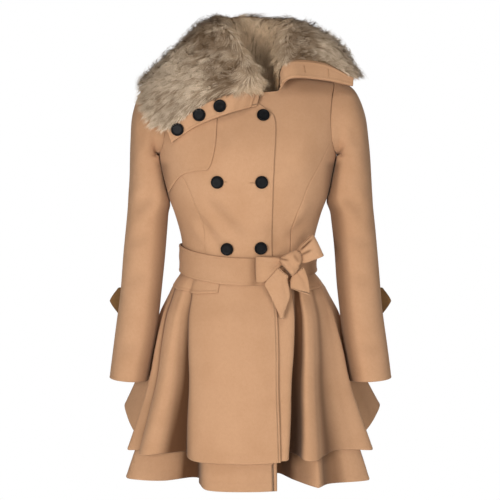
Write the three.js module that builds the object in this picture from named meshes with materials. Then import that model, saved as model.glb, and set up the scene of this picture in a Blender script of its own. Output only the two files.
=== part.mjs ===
// A belted double-breasted swing coat of camel wool, held out hollow as if worn.
// Millimetres, +Z up. The front faces -Y and the wearer's left is +X.
// The origin lies between the neck points of the two shoulder seams, where the coat is held.

import * as THREE from 'three';

// ---- driving sizes ----
const CLOTH = 2.2;            // wall of the coat cloth
const SEAM = 0.2;             // half of the gap left at each seam
const LIFT = 0.45;            // clearance of a piece that lies on another
const PILE = 14;              // depth of the fur
const NECK_HALF = 78;         // neck point of the shoulder seam from the centre
const SHOULDER_HALF = 178;    // armhole end of the shoulder seam from the centre
const SHOULDER_DROP = 22;     // fall of the shoulder seam from neck to armhole
const ARMPIT = -175;          // height of the bottom of the armholes
const WAIST = -395;           // height of the waist seam
const OUTER_DROP = 391;       // waist seam to the hem of the upper skirt
const UNDER_DROP = 447;       // waist seam to the hem of the lower skirt
const UNDER_GAP = 7.6;        // lower skirt inside the upper one at the waist
const OVERLAP_DEPTH = 4.4;      // left front inside the right front
const SLEEVE_SHIFT = 10;      // right sleeve hangs this much closer to the body
const BELT_WIDTH = 56;
const BELT_THICK = 2.6;
const TAB_WIDTH = 55;
const TAB_TOP = -457;
const TAB_START = 232;        // sewn end of a sleeve tab from the centre
const TAB_TIP = 304;          // free tip of a sleeve tab from the centre
const BUTTON_RADIUS = 13;
const BUTTON_THICK = 6;

const CAMEL = 0xc89b72;
const CAMEL_DARK = 0xb88a62;
const FUR = 0xa8967f;
const HORN = 0x0e0f0e;

// ---- tables: a row for each section, seam point or fold ----
const rows = (names, values) => values.map(
  (row) => Object.fromEntries(names.map((name, i) => [name, row[i]])));

// Level sections of the body from the waist up; the last row mirrors the one before the ridge.
const TORSO = rows(['height', 'half', 'front', 'back'], [
  [-395, 136, 100, 90],
  [-350, 139, 105, 90],
  [-300, 152, 121, 94],
  [-258, 167, 131, 99],
  [-215, 176, 136, 104],
  [-175, 184, 133, 106],
  [-140, 191, 123, 105],
  [-100, 197, 104, 99],
  [-65, 200, 83, 88],
  [-35, 200, 60, 70],
  [-14, 200, 36, 44],
  [-4, 200, 18, 21],
  [0, 200, 0, 0],
  [-4, 200, -18, -21],
]);
const RIDGE = TORSO.length - 2;

// Seams on the body, by distance from the centre and height.
const PRINCESS = rows(['x', 'height'], [
  [86, -395], [88, -350], [92, -313], [108, -275], [124, -235], [146, -195], [161, -165], [171, -140]]);
const ARMHOLE = rows(['x', 'height'], [
  [171, -140], [169, -110], [170, -75], [174, -38], [178, -14], [178, 0]]);
const UNDERARM = rows(['x', 'height'], [[171, -140], [174.5, -155], [179, -168], [184, -175]]);
const BACK_ARMHOLE = rows(['x', 'height'], [
  [184, -175], [178, -160], [174, -135], [172, -105], [173, -70], [176, -35], [178, -12], [178, 0]]);
const RIGHT_NECK = rows(['x', 'height'], [
  [-78, 0], [-72, -12], [-52, -30], [-20, -50], [16, -66], [41, -84]]);
const RIGHT_EDGE = rows(['x', 'height'], [
  [50, -395], [49, -330], [50, -260], [53, -190], [56, -130], [54, -98], [41, -84]]);
const LEFT_NECK = rows(['x', 'height'], [
  [-70, -108], [-35, -80], [0, -58], [22, -45], [46, -43], [64, -38], [74, -16], [78, 0]]);
const LEFT_EDGE = rows(['x', 'height'], [[-70, -395], [-70, -250], [-70, -108]]);
const BACK_NECK = rows(['x', 'height'], [[0, -25], [30, -21], [60, -12], [78, 0]]);
const STORM_RIGHT = rows(['x', 'height'], [
  [-82, -206], [-76, -199], [-71, -186], [-65, -156], [-62, -103], [-64, -60], [-82, -12]]);
const STORM_LEFT = rows(['x', 'height'], [
  [-161, -252], [-173, -212], [-179.5, -180], [-173, -160], [-167.5, -130], [-168, -75], [-174, -20]]);
const STORM_HEM = rows(['x', 'height'], [
  [-161, -252], [-149, -233], [-137, -219], [-124, -212], [-105, -207], [-82, -206]]);

// Base of the skirt by drop below the waist seam, before its folds.
const SKIRT = rows(['drop', 'half', 'front', 'back'], [
  [0, 136, 100, 90],
  [25, 137, 101, 92],
  [45, 149, 106, 103],
  [60, 157, 112, 112],
  [110, 174, 130, 134],
  [180, 186, 148, 157],
  [245, 195, 163, 177],
  [320, 214, 181, 198],
  [391, 234, 198, 216],
  [448, 252, 210, 228],
]);

// Fold lines: place at the waist and at the hem in degrees from the centre front,
// how far the fold stands out at the hem, and how far its hem is lifted.
const FOLD = ['waist', 'hem', 'out', 'lift'];
const RIGHT_FOLDS = rows(FOLD, [
  [-90, -90, -4, 6], [-88, -84, 2, 3], [-84, -75, 26, 0], [-78, -68, 8, 2], [-71, -62, 20, 0],
  [-60, -55, 15, 2], [-55, -50.5, -28, 4], [-51, -43.5, -50, 6], [-47, -33, -12, 2], [-38, -24, 2, 0],
  [-16, -7, 4, 0], [4, 6, 2, 0], [21.5, 16, 4, 2],
]);
const LEFT_FOLDS = rows(FOLD, [
  [0, 2, 2, 4], [18, 12, 0, 4], [35, 20, -2, 4], [38, 22.5, -40, 5], [41, 29, -80, 6],
  [44, 32, -50, 4], [46, 28.8, -2, 2], [51, 34, 8, 0], [58, 42, 0, 4], [65, 52, -8, 10],
  [73, 62, 10, 8], [80, 71, 40, 4], [85, 80, 4, 8], [90, 90, -4, 6],
]);
const BACK_FOLDS = rows(FOLD, [
  [90, 90, -4, 6], [97, 99, 66, 50], [102, 106, 104, 74], [108, 113, 56, 60], [116, 121, -12, 28],
  [125, 130, 22, 10], [136, 140, -26, 2], [147, 150, 22, 0], [158, 160, -24, 0], [169, 170, 20, 0],
  [180, 180, -22, 0], [191, 190, 20, 0], [202, 200, -24, 0], [213, 210, 22, 0], [224, 220, -26, 2],
  [235, 230, 22, 10], [244, 240, -12, 28], [252, 248, 44, 58], [258, 254, 80, 74], [263, 261, 50, 50],
  [270, 270, -4, 6],
]);
const UNDER_RIGHT_FOLDS = rows(FOLD, [
  [-90, -90, -8, 0], [-84, -76, 16, 0], [-74, -65, -2, 0], [-57, -53, -34, 0], [-51, -43, -72, 4],
  [-44, -32, -36, 2], [-36, -23, -9, 0], [-8, -2, -7, 0], [21.5, 12, -9, 0],
]);
const UNDER_LEFT_FOLDS = rows(FOLD, [
  [8, 4, -8, 0], [27, 14, -12, 0], [35, 20, -52, 4], [41, 28, -100, 10], [47, 33, -66, 4],
  [53, 38, -8, 0], [66, 52, -18, 0], [78, 70, 20, 0], [84, 79, -4, 0], [90, 90, -8, 0],
]);
const UNDER_BACK_FOLDS = rows(FOLD, [
  [90, 90, -8, 0], [103, 105, 8, 0], [118, 122, -26, 0], [136, 140, -36, 0], [147, 150, 4, 0],
  [158, 160, -34, 0], [169, 170, 4, 0], [180, 180, -32, 0], [191, 190, 4, 0], [202, 200, -34, 0],
  [213, 210, 4, 0], [224, 220, -36, 0], [242, 238, -26, 0], [257, 255, 8, 0], [270, 270, -8, 0],
]);
const OUTER_STEPS = [0, 0.06, 0.12, 0.22, 0.38, 0.56, 0.74, 0.88, 1];
const UNDER_STEPS = [0, 0.054, 0.106, 0.22, 0.4, 0.6, 0.8, 1];

// Left sleeve down its length: outer and inner edge, middle depth and half depth.
const SLEEVE = rows(['outerX', 'outerZ', 'innerX', 'innerZ', 'y', 'deep', 'blend', 'shift', 'tuck'], [
  [198, -27, 184.5, -180, -6, 66, 0.55, 0, 0],
  [226, -46, 184.5, -184, -5, 64, 0.2, 0, 0],
  [243, -92, 183, -190, -4, 61, 0, 0.3, 0],
  [251, -148, 180.3, -203, -4, 57, 0, 0.7, 0],
  [257, -215, 174.4, -230, -3, 52, 0, 1, 0],
  [260, -258, 168.6, -264, -3, 50, 0, 1, 0.05],
  [262, -290, 172, -292, -2, 48, 0, 1, 0.5],
  [269, -361, 180, -361, -2, 46, 0, 1, 0.75],
  [277, -455, 187, -455, -4, 45, 0, 1, 0.65],
  [286, -530, 195, -530, -7, 44, 0, 1, 0.5],
  [298, -618, 209, -620, -11, 44, 0, 1, 0.2],
  [301, -642, 213, -648, -12, 43, 0, 1, 0.1],
]);

// Collar sections from the right front end, round the neck, to the left front end:
// its base on the neckline, the top of its roll, its outer edge, and the swell of its fall.
const COLLAR = rows(['bx', 'by', 'bz', 'rx', 'ry', 'rz', 'ex', 'ey', 'ez', 'swell'], [
  [18, -96, -76, -40, -117, -92, -155, -98, -150, 6],
  [23, -82, -46, -18, -110, -46, -166, -98, -122, 10],
  [4, -78, -50, 8, -100, -14, -184, -90, -107, 12],
  [-26, -75, -44, -12, -76, 34, -200, -74, -82, 13],
  [-54, -50, -26, -42, -38, 80, -210, -38, -40, 9],
  [-73, -8, -1, -66, 0, 101, -207, 6, -16, 6],
  [-66, 28, -5, -60, 42, 110, -184, 58, -16, 10],
  [-38, 50, -17, -36, 68, 114, -128, 92, -28, 14],
  [0, 57, -23, 0, 77, 118, 0, 112, -42, 18],
  [38, 50, -17, 42, 68, 112, 130, 92, -26, 20],
  [66, 28, -5, 76, 40, 106, 192, 58, -8, 21],
  [73, -8, -1, 84, -2, 92, 217, 8, -2, 27],
  [71, -46, -20, 78, -42, 60, 220, -30, -10, 28],
  [67, -70, -34, 74, -80, 10, 216, -48, -16, 16],
  [63, -82, -41, 82, -98, -22, 214, -56, -34, 6],
]);
// Share of the way round the sleeve of each armhole point, from the top down the front.
const SLEEVE_TURNS = [0, 0.06, 0.125, 0.185, 0.25, 0.31, 0.365, 0.415, 0.46, 0.5, 0.585, 0.67, 0.77, 0.885];

const BAND_ROWS = 0.94;       // width of the cloth band at each front end, in collar sections

// Buttons: on the fronts by place, on the band by share of its length.
const FRONT_BUTTONS = rows(['x', 'height', 'lift'], [
  [30.5, -96, 0.4], [-61, -229, -0.1], [27, -229, -0.6], [-42, -365, 1.2], [25.5, -363, 1.2]]);
const BAND_BUTTONS = rows(['share', 'lift'], [[0.9, 1.6], [0.66, 1.4], [0.46, 0.9]]);

// ---- arithmetic ----
const radians = (degrees) => degrees * Math.PI / 180;
const clamp = (value, low, high) => Math.min(Math.max(value, low), high);
const mix = (a, b, share) => a + (b - a) * share;
const ease = (value) => clamp(value, 0, 1) ** 2 * (3 - 2 * clamp(value, 0, 1));

// Catmull-Rom value of one column at a fractional row.
function smooth(table, name, at) {
  const last = table.length - 1;
  const i = clamp(Math.floor(at), 0, last - 1);
  const f = at - i;
  const b = table[i][name];
  const c = table[i + 1][name];
  const a = i > 0 ? table[i - 1][name] : 2 * b - c;
  const d = i + 1 < last ? table[i + 2][name] : 2 * c - b;
  return b + 0.5 * f * (c - a + f * (2 * a - 5 * b + 4 * c - d + f * (3 * (b - c) + d - a)));
}

// Straight value of one column at a given key, for keys that rise down the table.
function between(table, key, name, value) {
  let i = 0;
  while (i < table.length - 2 && table[i + 1][key] < value) i += 1;
  const share = (value - table[i][key]) / (table[i + 1][key] - table[i][key]);
  return smooth(table, name, i + share);
}

// Direction square to a surface at (u, v), from the surface itself.
function normalOf(surface, u, v, du, dv) {
  const along = surface(u + du, v).sub(surface(u - du, v));
  const up = surface(u, v + dv).sub(surface(u, v - dv));
  return along.cross(up).normalize();
}

// ---- closed solids ----
function solid(points, faces) {
  const shape = new THREE.BufferGeometry();
  shape.setAttribute('position', new THREE.Float32BufferAttribute(points.flatMap((p) => p.toArray()), 3));
  let volume = 0;
  for (const [a, b, c] of faces) {
    volume += points[a].dot(new THREE.Vector3().crossVectors(points[b], points[c]));
  }
  shape.setIndex(volume > 0 ? faces.flat() : faces.flatMap(([a, b, c]) => [a, c, b]));
  return shape;
}

// A wall over a grid of {p, n}: from `inner` to `outer` along each n, with its rims closed.
function wall(grid, inner, outer, ring = false) {
  const high = grid.length;
  const wide = grid[0].length;
  const spans = ring ? wide : wide - 1;
  const points = [];
  for (const depth of [outer, inner]) {
    for (const line of grid) {
      for (const node of line) points.push(node.p.clone().addScaledVector(node.n, depth));
    }
  }
  const at = (side, j, i) => side * high * wide + j * wide + (i % wide);
  const faces = [];
  const quad = (a, b, c, d) => faces.push([a, b, c], [a, c, d]);
  for (let j = 0; j < high - 1; j += 1) {
    for (let i = 0; i < spans; i += 1) {
      quad(at(0, j, i), at(0, j, i + 1), at(0, j + 1, i + 1), at(0, j + 1, i));
      quad(at(1, j, i), at(1, j + 1, i), at(1, j + 1, i + 1), at(1, j, i + 1));
    }
    if (!ring) {
      quad(at(0, j + 1, 0), at(1, j + 1, 0), at(1, j, 0), at(0, j, 0));
      quad(at(0, j, wide - 1), at(1, j, wide - 1), at(1, j + 1, wide - 1), at(0, j + 1, wide - 1));
    }
  }
  for (let i = 0; i < spans; i += 1) {
    quad(at(0, 0, i), at(1, 0, i), at(1, 0, i + 1), at(0, 0, i + 1));
    quad(at(0, high - 1, i + 1), at(1, high - 1, i + 1), at(1, high - 1, i), at(0, high - 1, i));
  }
  return solid(points, faces);
}

// ---- the body ----
function torso(turn, level) {
  const height = smooth(TORSO, 'height', level);
  const forward = Math.cos(turn);
  const depth = smooth(TORSO, forward > 0 ? 'front' : 'back', level);
  const x = smooth(TORSO, 'half', level) * Math.sin(turn);
  const rise = clamp((height - ARMPIT) / -ARMPIT, 0, 1) ** 2;
  const slope = Math.max(0, (Math.abs(x) - NECK_HALF) / (SHOULDER_HALF - NECK_HALF));
  return new THREE.Vector3(
    x, -Math.sign(forward) * depth * Math.abs(forward) ** 0.8, height - SHOULDER_DROP * rise * slope);
}

function levelAt(height) {
  let low = 0;
  let high = RIDGE;
  for (let step = 0; step < 40; step += 1) {
    const middle = (low + high) / 2;
    if (smooth(TORSO, 'height', middle) < height) low = middle;
    else high = middle;
  }
  return (low + high) / 2;
}

// The place on the body at x and height, on its front, or on the back of the given side.
function spot(x, height, backSide = 0) {
  const level = height >= 0 ? RIDGE : levelAt(height);
  const turn = Math.asin(clamp(x / smooth(TORSO, 'half', level), -1, 1));
  return { turn: backSide ? backSide * Math.PI - turn : turn, level };
}

// `count` equal steps along a seam, with x turned to `side` and moved by `shift`.
function trace(seam, count, side = 1, shift = 0, backSide = 0) {
  return Array.from({ length: count + 1 }, (_, i) => {
    const at = (i / count) * (seam.length - 1);
    return spot(side * smooth(seam, 'x', at) + shift, smooth(seam, 'height', at), backSide);
  });
}

const join = (first, second) => [...first, ...second.slice(1)];
const reverse = (list) => [...list].reverse();

// A four-sided panel between its seams; bottom and top run the same way, as do left and right.
function patch(bottom, top, left, right) {
  const across = bottom.length - 1;
  const up = left.length - 1;
  const blend = (name, i, j) => {
    const u = i / across;
    const v = j / up;
    return mix(bottom[i][name], top[i][name], v) + mix(left[j][name], right[j][name], u)
      - mix(mix(bottom[0][name], bottom[across][name], u), mix(top[0][name], top[across][name], u), v);
  };
  return Array.from({ length: up + 1 }, (_, j) => Array.from(
    { length: across + 1 }, (__, i) => ({ turn: blend('turn', i, j), level: blend('level', i, j) })));
}

const sunk = (x) => -OVERLAP_DEPTH * (1 - ease((x - 56) / 60));

function bodyNode({ turn, level }, behind, buried) {
  const n = normalOf(torso, turn, level, 0.004, 0.02);
  if (n.dot(new THREE.Vector3(Math.sin(turn), -Math.cos(turn), 0.2)) < 0) n.negate();
  const p = torso(turn, level);
  if (buried) p.addScaledVector(n, sunk(p.x));
  p.y += behind ? SEAM : -SEAM;
  return { p, n };
}

const bodyGrid = (places, behind = false, buried = false) => places.map(
  (line) => line.map((place) => bodyNode(place, behind, buried)));

const level = (from, to, height) => rows(['x', 'height'], [[from, height], [to, height]]);

function frontPanels() {
  const right = patch(
    trace(level(-86 + SEAM, 50, WAIST), 10),
    trace(level(-178, -78, 0), 10),
    join(trace(PRINCESS, 9, -1, SEAM), trace(ARMHOLE, 5, -1)),
    join(trace(RIGHT_EDGE, 8), trace(reverse(RIGHT_NECK), 6)));
  const left = patch(
    trace(level(-70, 86 - SEAM, WAIST), 11),
    trace(level(78, 178, 0), 11),
    join(trace(LEFT_EDGE, 7), trace(LEFT_NECK, 7)),
    join(trace(PRINCESS, 9, 1, -SEAM), trace(ARMHOLE, 5)));
  return { front_right: bodyGrid(right), front_left: bodyGrid(left, false, true) };
}

function sidePanel(side) {
  const places = patch(
    trace(level(86 + SEAM, 136, WAIST), 4, side),
    trace(UNDERARM, 4, side),
    trace(PRINCESS, 9, side, side * SEAM),
    sideSeam(side));
  return bodyGrid(places);
}

function sideSeam(side) {
  return Array.from({ length: 10 }, (_, i) => ({
    turn: side * Math.PI / 2, level: levelAt(mix(WAIST, ARMPIT, i / 9)) }));
}

function backPanel(side) {
  const centre = Array.from({ length: 15 }, (_, i) => ({
    turn: side * (Math.PI - SEAM / 100), level: levelAt(mix(WAIST, -25, i / 14)) }));
  const bottom = Array.from({ length: 10 }, (_, i) => ({
    turn: side * mix(Math.PI / 2, Math.PI - SEAM / 100, i / 9), level: 0 }));
  const places = patch(
    bottom,
    join(
      trace(level(178, 78, 0), 4, side, 0, side),
      trace(reverse(BACK_NECK), 5, side, 0, side)),
    join(sideSeam(side), trace(BACK_ARMHOLE, 5, side, 0, side)),
    centre);
  places.forEach((line) => { line[line.length - 1].turn = side * (Math.PI - SEAM / 100); });
  return bodyGrid(places, true);
}

function stormFlap() {
  const places = patch(
    trace(STORM_HEM, 9),
    trace(rows(['x', 'height'], [[-174, -20], [-82, -12]]), 9),
    trace(STORM_LEFT, 10),
    trace(STORM_RIGHT, 10));
  return bodyGrid(places);
}

// ---- the sleeves ----
// The armhole from the shoulder seam down the front, under the arm and up the back.
function armholeRing(side) {
  const front = join(
    reverse(trace(ARMHOLE, 5, side)), trace(UNDERARM, 4, side));
  const back = trace(BACK_ARMHOLE, 5, side, 0, side);
  return [
    ...front.map((place) => bodyNode(place, false).p),
    ...back.slice(1, -1).map((place) => bodyNode(place, true).p),
  ];
}

function sleeveRing(row, side, count) {
  const move = side < 0 ? SLEEVE_SHIFT : 0;
  const outer = new THREE.Vector3(row.outerX - move * row.shift, row.y, row.outerZ);
  const inner = new THREE.Vector3(row.innerX - move * row.tuck, row.y, row.innerZ);
  const middle = outer.clone().add(inner).multiplyScalar(0.5);
  const reach = outer.clone().sub(middle);
  return Array.from({ length: count }, (_, i) => {
    const angle = 2 * Math.PI * SLEEVE_TURNS[i];
    const p = middle.clone().addScaledVector(reach, Math.cos(angle));
    p.y -= row.deep * Math.sin(angle);
    p.x *= side;
    return p;
  });
}

function sleeve(side) {
  const start = armholeRing(side);
  const count = start.length;
  const out = new THREE.Vector3(side * 3 * LIFT, 0, 0);
  const rings = [start.map((p) => p.clone().add(out))];
  for (const row of SLEEVE) {
    const round = sleeveRing(row, side, count);
    const middle = new THREE.Vector3();
    start.forEach((p) => middle.addScaledVector(p, 1 / count));
    rings.push(round.map((p, i) => {
      const centre = new THREE.Vector3(
        side * (row.outerX + row.innerX) / 2, row.y, (row.outerZ + row.innerZ) / 2);
      const carried = start[i].clone().sub(middle).add(centre);
      return p.lerp(carried, row.blend);
    }));
  }
  return ringGrid(rings);
}

// Gives each point of a stack of rings the direction square to the stack, facing out.
function ringGrid(rings) {
  const last = rings.length - 1;
  return rings.map((ring, j) => {
    const middle = new THREE.Vector3();
    ring.forEach((p) => middle.addScaledVector(p, 1 / ring.length));
    return ring.map((p, i) => {
      const around = ring[(i + 1) % ring.length].clone().sub(ring[(i + ring.length - 1) % ring.length]);
      const down = rings[Math.min(j + 1, last)][i].clone().sub(rings[Math.max(j - 1, 0)][i]);
      const n = around.cross(down).normalize();
      if (n.dot(p.clone().sub(middle)) < 0) n.negate();
      return { p, n };
    });
  });
}

// ---- the skirt ----
function skirtAt(folds, at, drop) {
  const gain = (Math.max(drop, 0) / OUTER_DROP) ** 1.2;
  const turn = radians(mix(smooth(folds, 'waist', at), smooth(folds, 'hem', at), gain));
  const forward = Math.cos(turn);
  const out = smooth(folds, 'out', at) * gain;
  const half = between(SKIRT, 'drop', 'half', drop) + out;
  const depth = between(SKIRT, 'drop', forward > 0 ? 'front' : 'back', drop) + out;
  const power = mix(0.8, 1, clamp(drop / 200, 0, 1));
  return new THREE.Vector3(
    half * Math.sin(turn), -Math.sign(forward) * depth * Math.abs(forward) ** power, WAIST - drop);
}

function skirtNode(folds, at, drop, inset, apart) {
  const surface = (u, d) => skirtAt(folds, u, d);
  const n = normalOf(surface, at, drop, 0.04, 0.5).negate();
  const p = surface(at, drop).addScaledVector(n, -inset);
  p.y += apart;
  return { p, n };
}

// A skirt panel between the first and the last of its folds.
function skirtPanel(folds, length, steps, cuts, inset, apart) {
  const spans = cuts * (folds.length - 1);
  return steps.map((step) => Array.from({ length: spans + 1 }, (_, i) => {
    const at = i / cuts;
    const drop = mix(2 * LIFT, length - smooth(folds, 'lift', at), step);
    return skirtNode(folds, at, drop, typeof inset === 'function' ? inset(at) : inset, apart);
  }));
}

// A pocket flap on the upper skirt, over a number of thirds of a fold, to a depth at each end.
function pocketFlap(folds, from, thirds, near, far) {
  return [0, 0.4, 0.75, 1].map((step) => steps(thirds).map((u) => {
    const corner = 5 * Math.max(0, Math.abs(2 * u - 1) - 0.8) / 0.2;
    const drop = mix(24, mix(near, far, u) - corner, step);
    return skirtNode(folds, from + u * thirds / 3, drop, -0.9 * Math.sqrt(step), -SEAM);
  }));
}

// ---- the belt and its bow ----
function beltNode(turn, share) {
  const forward = Math.cos(turn);
  const dip = 22 * Math.max(forward, 0) ** 1.5;
  const z = -389 - dip + BELT_WIDTH * (0.5 - share);
  const depth = forward > 0 ? mix(106, 109.6, share) : 95;
  const half = 141.8;
  const p = new THREE.Vector3(
    half * Math.sin(turn), -Math.sign(forward) * depth * Math.abs(forward) ** 0.8, z);
  const n = new THREE.Vector3(p.x / half ** 2, p.y / depth ** 2, 0).normalize();
  return { p, n };
}

function belt() {
  return [0, 0.5, 1].map((share) => Array.from(
    { length: 40 }, (_, i) => beltNode(radians(i * 9), share)));
}

// Stations of a folded ribbon: middle point, half width, and the slant of its width in degrees.
const STATION = ['x', 'y', 'z', 'halfWidth', 'slant'];
const RIGHT_LOOP = rows(STATION, [
  [93, -92.6, -387, 12, 106], [104, -93, -381, 15, 108], [120, -96, -370, 20, 112],
  [136, -102, -360, 24, 115], [142, -110, -357, 24.5, 116], [136, -117, -360, 24, 115],
  [120, -118, -370, 20, 112], [105, -113, -380.5, 15, 108], [95, -109.2, -386, 12, 106]]);
const LEFT_LOOP = rows(STATION, [
  [77, -100.4, -391, 7, 95], [62, -105.6, -391, 9, 96], [46, -110.1, -399, 18, 97],
  [30, -113.2, -405, 25, 94], [17, -118, -405.5, 25, 91], [30, -124.5, -405, 25, 94],
  [46, -123.5, -399, 18, 97], [62, -117, -391, 9, 96], [75, -110.2, -391, 7, 95]]);
const LONG_TAIL = rows(STATION, [
  [71.5, -125, -410, 12, -42], [64, -126.6, -421.5, 16, -18], [58, -128.2, -435.5, 23.5, -5],
  [61.5, -129, -447, 21.5, 0], [65, -130.5, -460, 18.5, 0], [66, -131.5, -475, 12.5, 0],
  [67, -133, -490, 6.5, 0], [68.5, -134, -503.5, 2.5, 0]]);
const SHORT_TAIL = rows(STATION, [
  [100.5, -118, -409.1, 14, 40], [102, -118.5, -420, 16.5, 20], [104, -119.5, -433, 18.2, 3],
  [105.6, -121, -451, 20, -20]]);

function ribbon(stations, cuts) {
  const count = cuts * (stations.length - 1);
  const edge = (at, side) => {
    const slant = radians(smooth(stations, 'slant', at));
    const reach = side * smooth(stations, 'halfWidth', at);
    return new THREE.Vector3(
      smooth(stations, 'x', at) + reach * Math.cos(slant),
      smooth(stations, 'y', at) + Math.abs(side) ** 2 * 2.5,
      smooth(stations, 'z', at) + reach * Math.sin(slant));
  };
  return Array.from({ length: count + 1 }, (_, j) => [-1, 0, 1].map((side) => {
    const at = j / cuts;
    return { p: edge(at, side), n: normalOf((u, v) => edge(v, u), side, at, 0.05, 0.05) };
  }));
}

function knot() {
  const shape = new THREE.SphereGeometry(1, 18, 10);
  shape.scale(21.5, 11, 23.5);
  shape.rotateY(radians(14));
  shape.translate(87, -121, -391);
  return shape;
}

// ---- the collar ----
function collarCurve(at, name) {
  return new THREE.Vector3(
    smooth(COLLAR, `${name}x`, at), smooth(COLLAR, `${name}y`, at), smooth(COLLAR, `${name}z`, at));
}

// The collar cloth at a section and a share of the way from the neckline over the roll to the edge.
function collarAt(at, share) {
  const base = collarCurve(at, 'b');
  const roll = collarCurve(at, 'r');
  const edge = collarCurve(at, 'e');
  const fall = edge.clone().sub(roll);
  const away = new THREE.Vector3(fall.x, fall.y, 0).normalize();
  const square = away.multiplyScalar(-fall.z).add(new THREE.Vector3(0, 0, Math.hypot(fall.x, fall.y)));
  const bulge = roll.clone().lerp(edge, 0.5)
    .addScaledVector(square.normalize(), smooth(COLLAR, 'swell', at));
  const path = new THREE.CatmullRomCurve3([base, roll, bulge, edge], false, 'centripetal');
  return path.getPoint(clamp(share, 0, 1));
}

function collarGrid(sections, shares) {
  return shares.map((share) => sections.map((at) => {
    const n = normalOf(collarAt, at, clamp(share, 0.01, 0.99), 0.02, 0.01);
    return { p: collarAt(at, share), n };
  }));
}

const steps = (count, from = 0, to = 1) => Array.from(
  { length: count + 1 }, (_, i) => mix(from, to, i / count));

// ---- buttons and tabs ----
const BUTTON_PROFILE = [[0, 0], [12, 0], [13, 3], [11.6, 5.4], [9, 4.2], [0, 4.4]];

function button(p, n, lift) {
  const shape = new THREE.LatheGeometry(
    BUTTON_PROFILE.map(([radius, rise]) => new THREE.Vector2(
      radius * BUTTON_RADIUS / 13, rise * BUTTON_THICK / 5.4)), 14);
  shape.rotateX(Math.PI / 2);
  const mesh = new THREE.Mesh(shape);
  mesh.position.copy(p).addScaledVector(n, lift);
  mesh.quaternion.setFromUnitVectors(new THREE.Vector3(0, 0, 1), n);
  return mesh;
}

// A pointed strap that lies on the back of a sleeve, its free end standing past the outer edge.
function sleeveTab(side) {
  const move = side < 0 ? SLEEVE_SHIFT : 0;
  const surface = (u, v) => {
    const at = 7 + v * 0.72;
    const end = mix(TAB_TIP - 12, TAB_TIP, 1 - Math.abs(2 * v - 1) ** 1.5);
    const x = mix(TAB_START, end, u) - move;
    const back = smooth(SLEEVE, 'y', at) + smooth(SLEEVE, 'deep', at);
    return new THREE.Vector3(
      side * x, back - 3.1 + 2 * u - 9 * u ** 4, mix(TAB_TOP, TAB_TOP - TAB_WIDTH, v));
  };
  return steps(4).map((v) => steps(6).map((u) => {
    const n = normalOf(surface, u, v, 0.01, 0.01);
    if (n.y < 0) n.negate();
    return { p: surface(u, v), n };
  }));
}

// ---- the coat ----
const coat = new THREE.Group();

function add(name, shape, colour, roughness = 0.92) {
  const mesh = shape.isMesh ? shape : new THREE.Mesh(shape);
  mesh.material = new THREE.MeshStandardMaterial({ color: colour, roughness, metalness: 0 });
  mesh.name = name;
  coat.add(mesh);
}

const inward = (grid, ring = false) => wall(grid, -CLOTH, 0, ring);
const laid = (grid, lift = LIFT) => wall(grid, lift, lift + CLOTH);

function addBody() {
  const fronts = frontPanels();
  add('front_right', inward(fronts.front_right), CAMEL);
  add('front_left', inward(fronts.front_left), CAMEL);
  add('side_front_right', inward(sidePanel(-1)), CAMEL);
  add('side_front_left', inward(sidePanel(1)), CAMEL);
  add('back_right', inward(backPanel(-1)), CAMEL);
  add('back_left', inward(backPanel(1)), CAMEL);
  add('storm_flap', laid(stormFlap(), 1.6), CAMEL);
  add('sleeve_right', inward(sleeve(-1), true), CAMEL);
  add('sleeve_left', inward(sleeve(1), true), CAMEL);
  add('sleeve_tab_right', wall(sleeveTab(-1), 0, 2.6), CAMEL_DARK);
  add('sleeve_tab_left', wall(sleeveTab(1), 0, 2.6), CAMEL_DARK);
}

function addSkirt() {
  const buried = (folds, gap) => (at) => gap
    + OVERLAP_DEPTH * (1 - ease((smooth(folds, 'waist', at) - 23) / 10));
  const layers = [
    ['upper', OUTER_DROP, OUTER_STEPS, 3, 0, RIGHT_FOLDS, LEFT_FOLDS, BACK_FOLDS],
    ['lower', UNDER_DROP, UNDER_STEPS, 2, UNDER_GAP, UNDER_RIGHT_FOLDS, UNDER_LEFT_FOLDS, UNDER_BACK_FOLDS],
  ];
  for (const [layer, length, down, cuts, gap, right, left, back] of layers) {
    add(`skirt_${layer}_right`, inward(skirtPanel(right, length, down, cuts, gap, -SEAM)), CAMEL);
    add(`skirt_${layer}_left`, inward(skirtPanel(left, length, down, cuts, buried(left, gap), -SEAM)), CAMEL);
    add(`skirt_${layer}_back`, inward(skirtPanel(back, length, down, 2, gap, SEAM)), CAMEL);
  }
  add('pocket_flap_right', laid(pocketFlap(RIGHT_FOLDS, 2 / 3, 27, 53, 65)), CAMEL);
  add('pocket_flap_left', laid(pocketFlap(LEFT_FOLDS, 19 / 3, 13, 60, 54)), CAMEL);
}

function addBelt() {
  add('belt', wall(belt(), 0, BELT_THICK, true), CAMEL);
  add('bow_loop_right', wall(ribbon(LEFT_LOOP, 2), -1.2, 1.2), CAMEL);
  add('bow_loop_left', wall(ribbon(RIGHT_LOOP, 2), -1.2, 1.2), CAMEL);
  add('belt_end_long', wall(ribbon(LONG_TAIL, 2), -1.2, 1.2), CAMEL);
  add('belt_end_short', wall(ribbon(SHORT_TAIL, 2), -1.2, 1.2), CAMEL);
  add('bow_knot', knot(), CAMEL);
}

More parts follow.
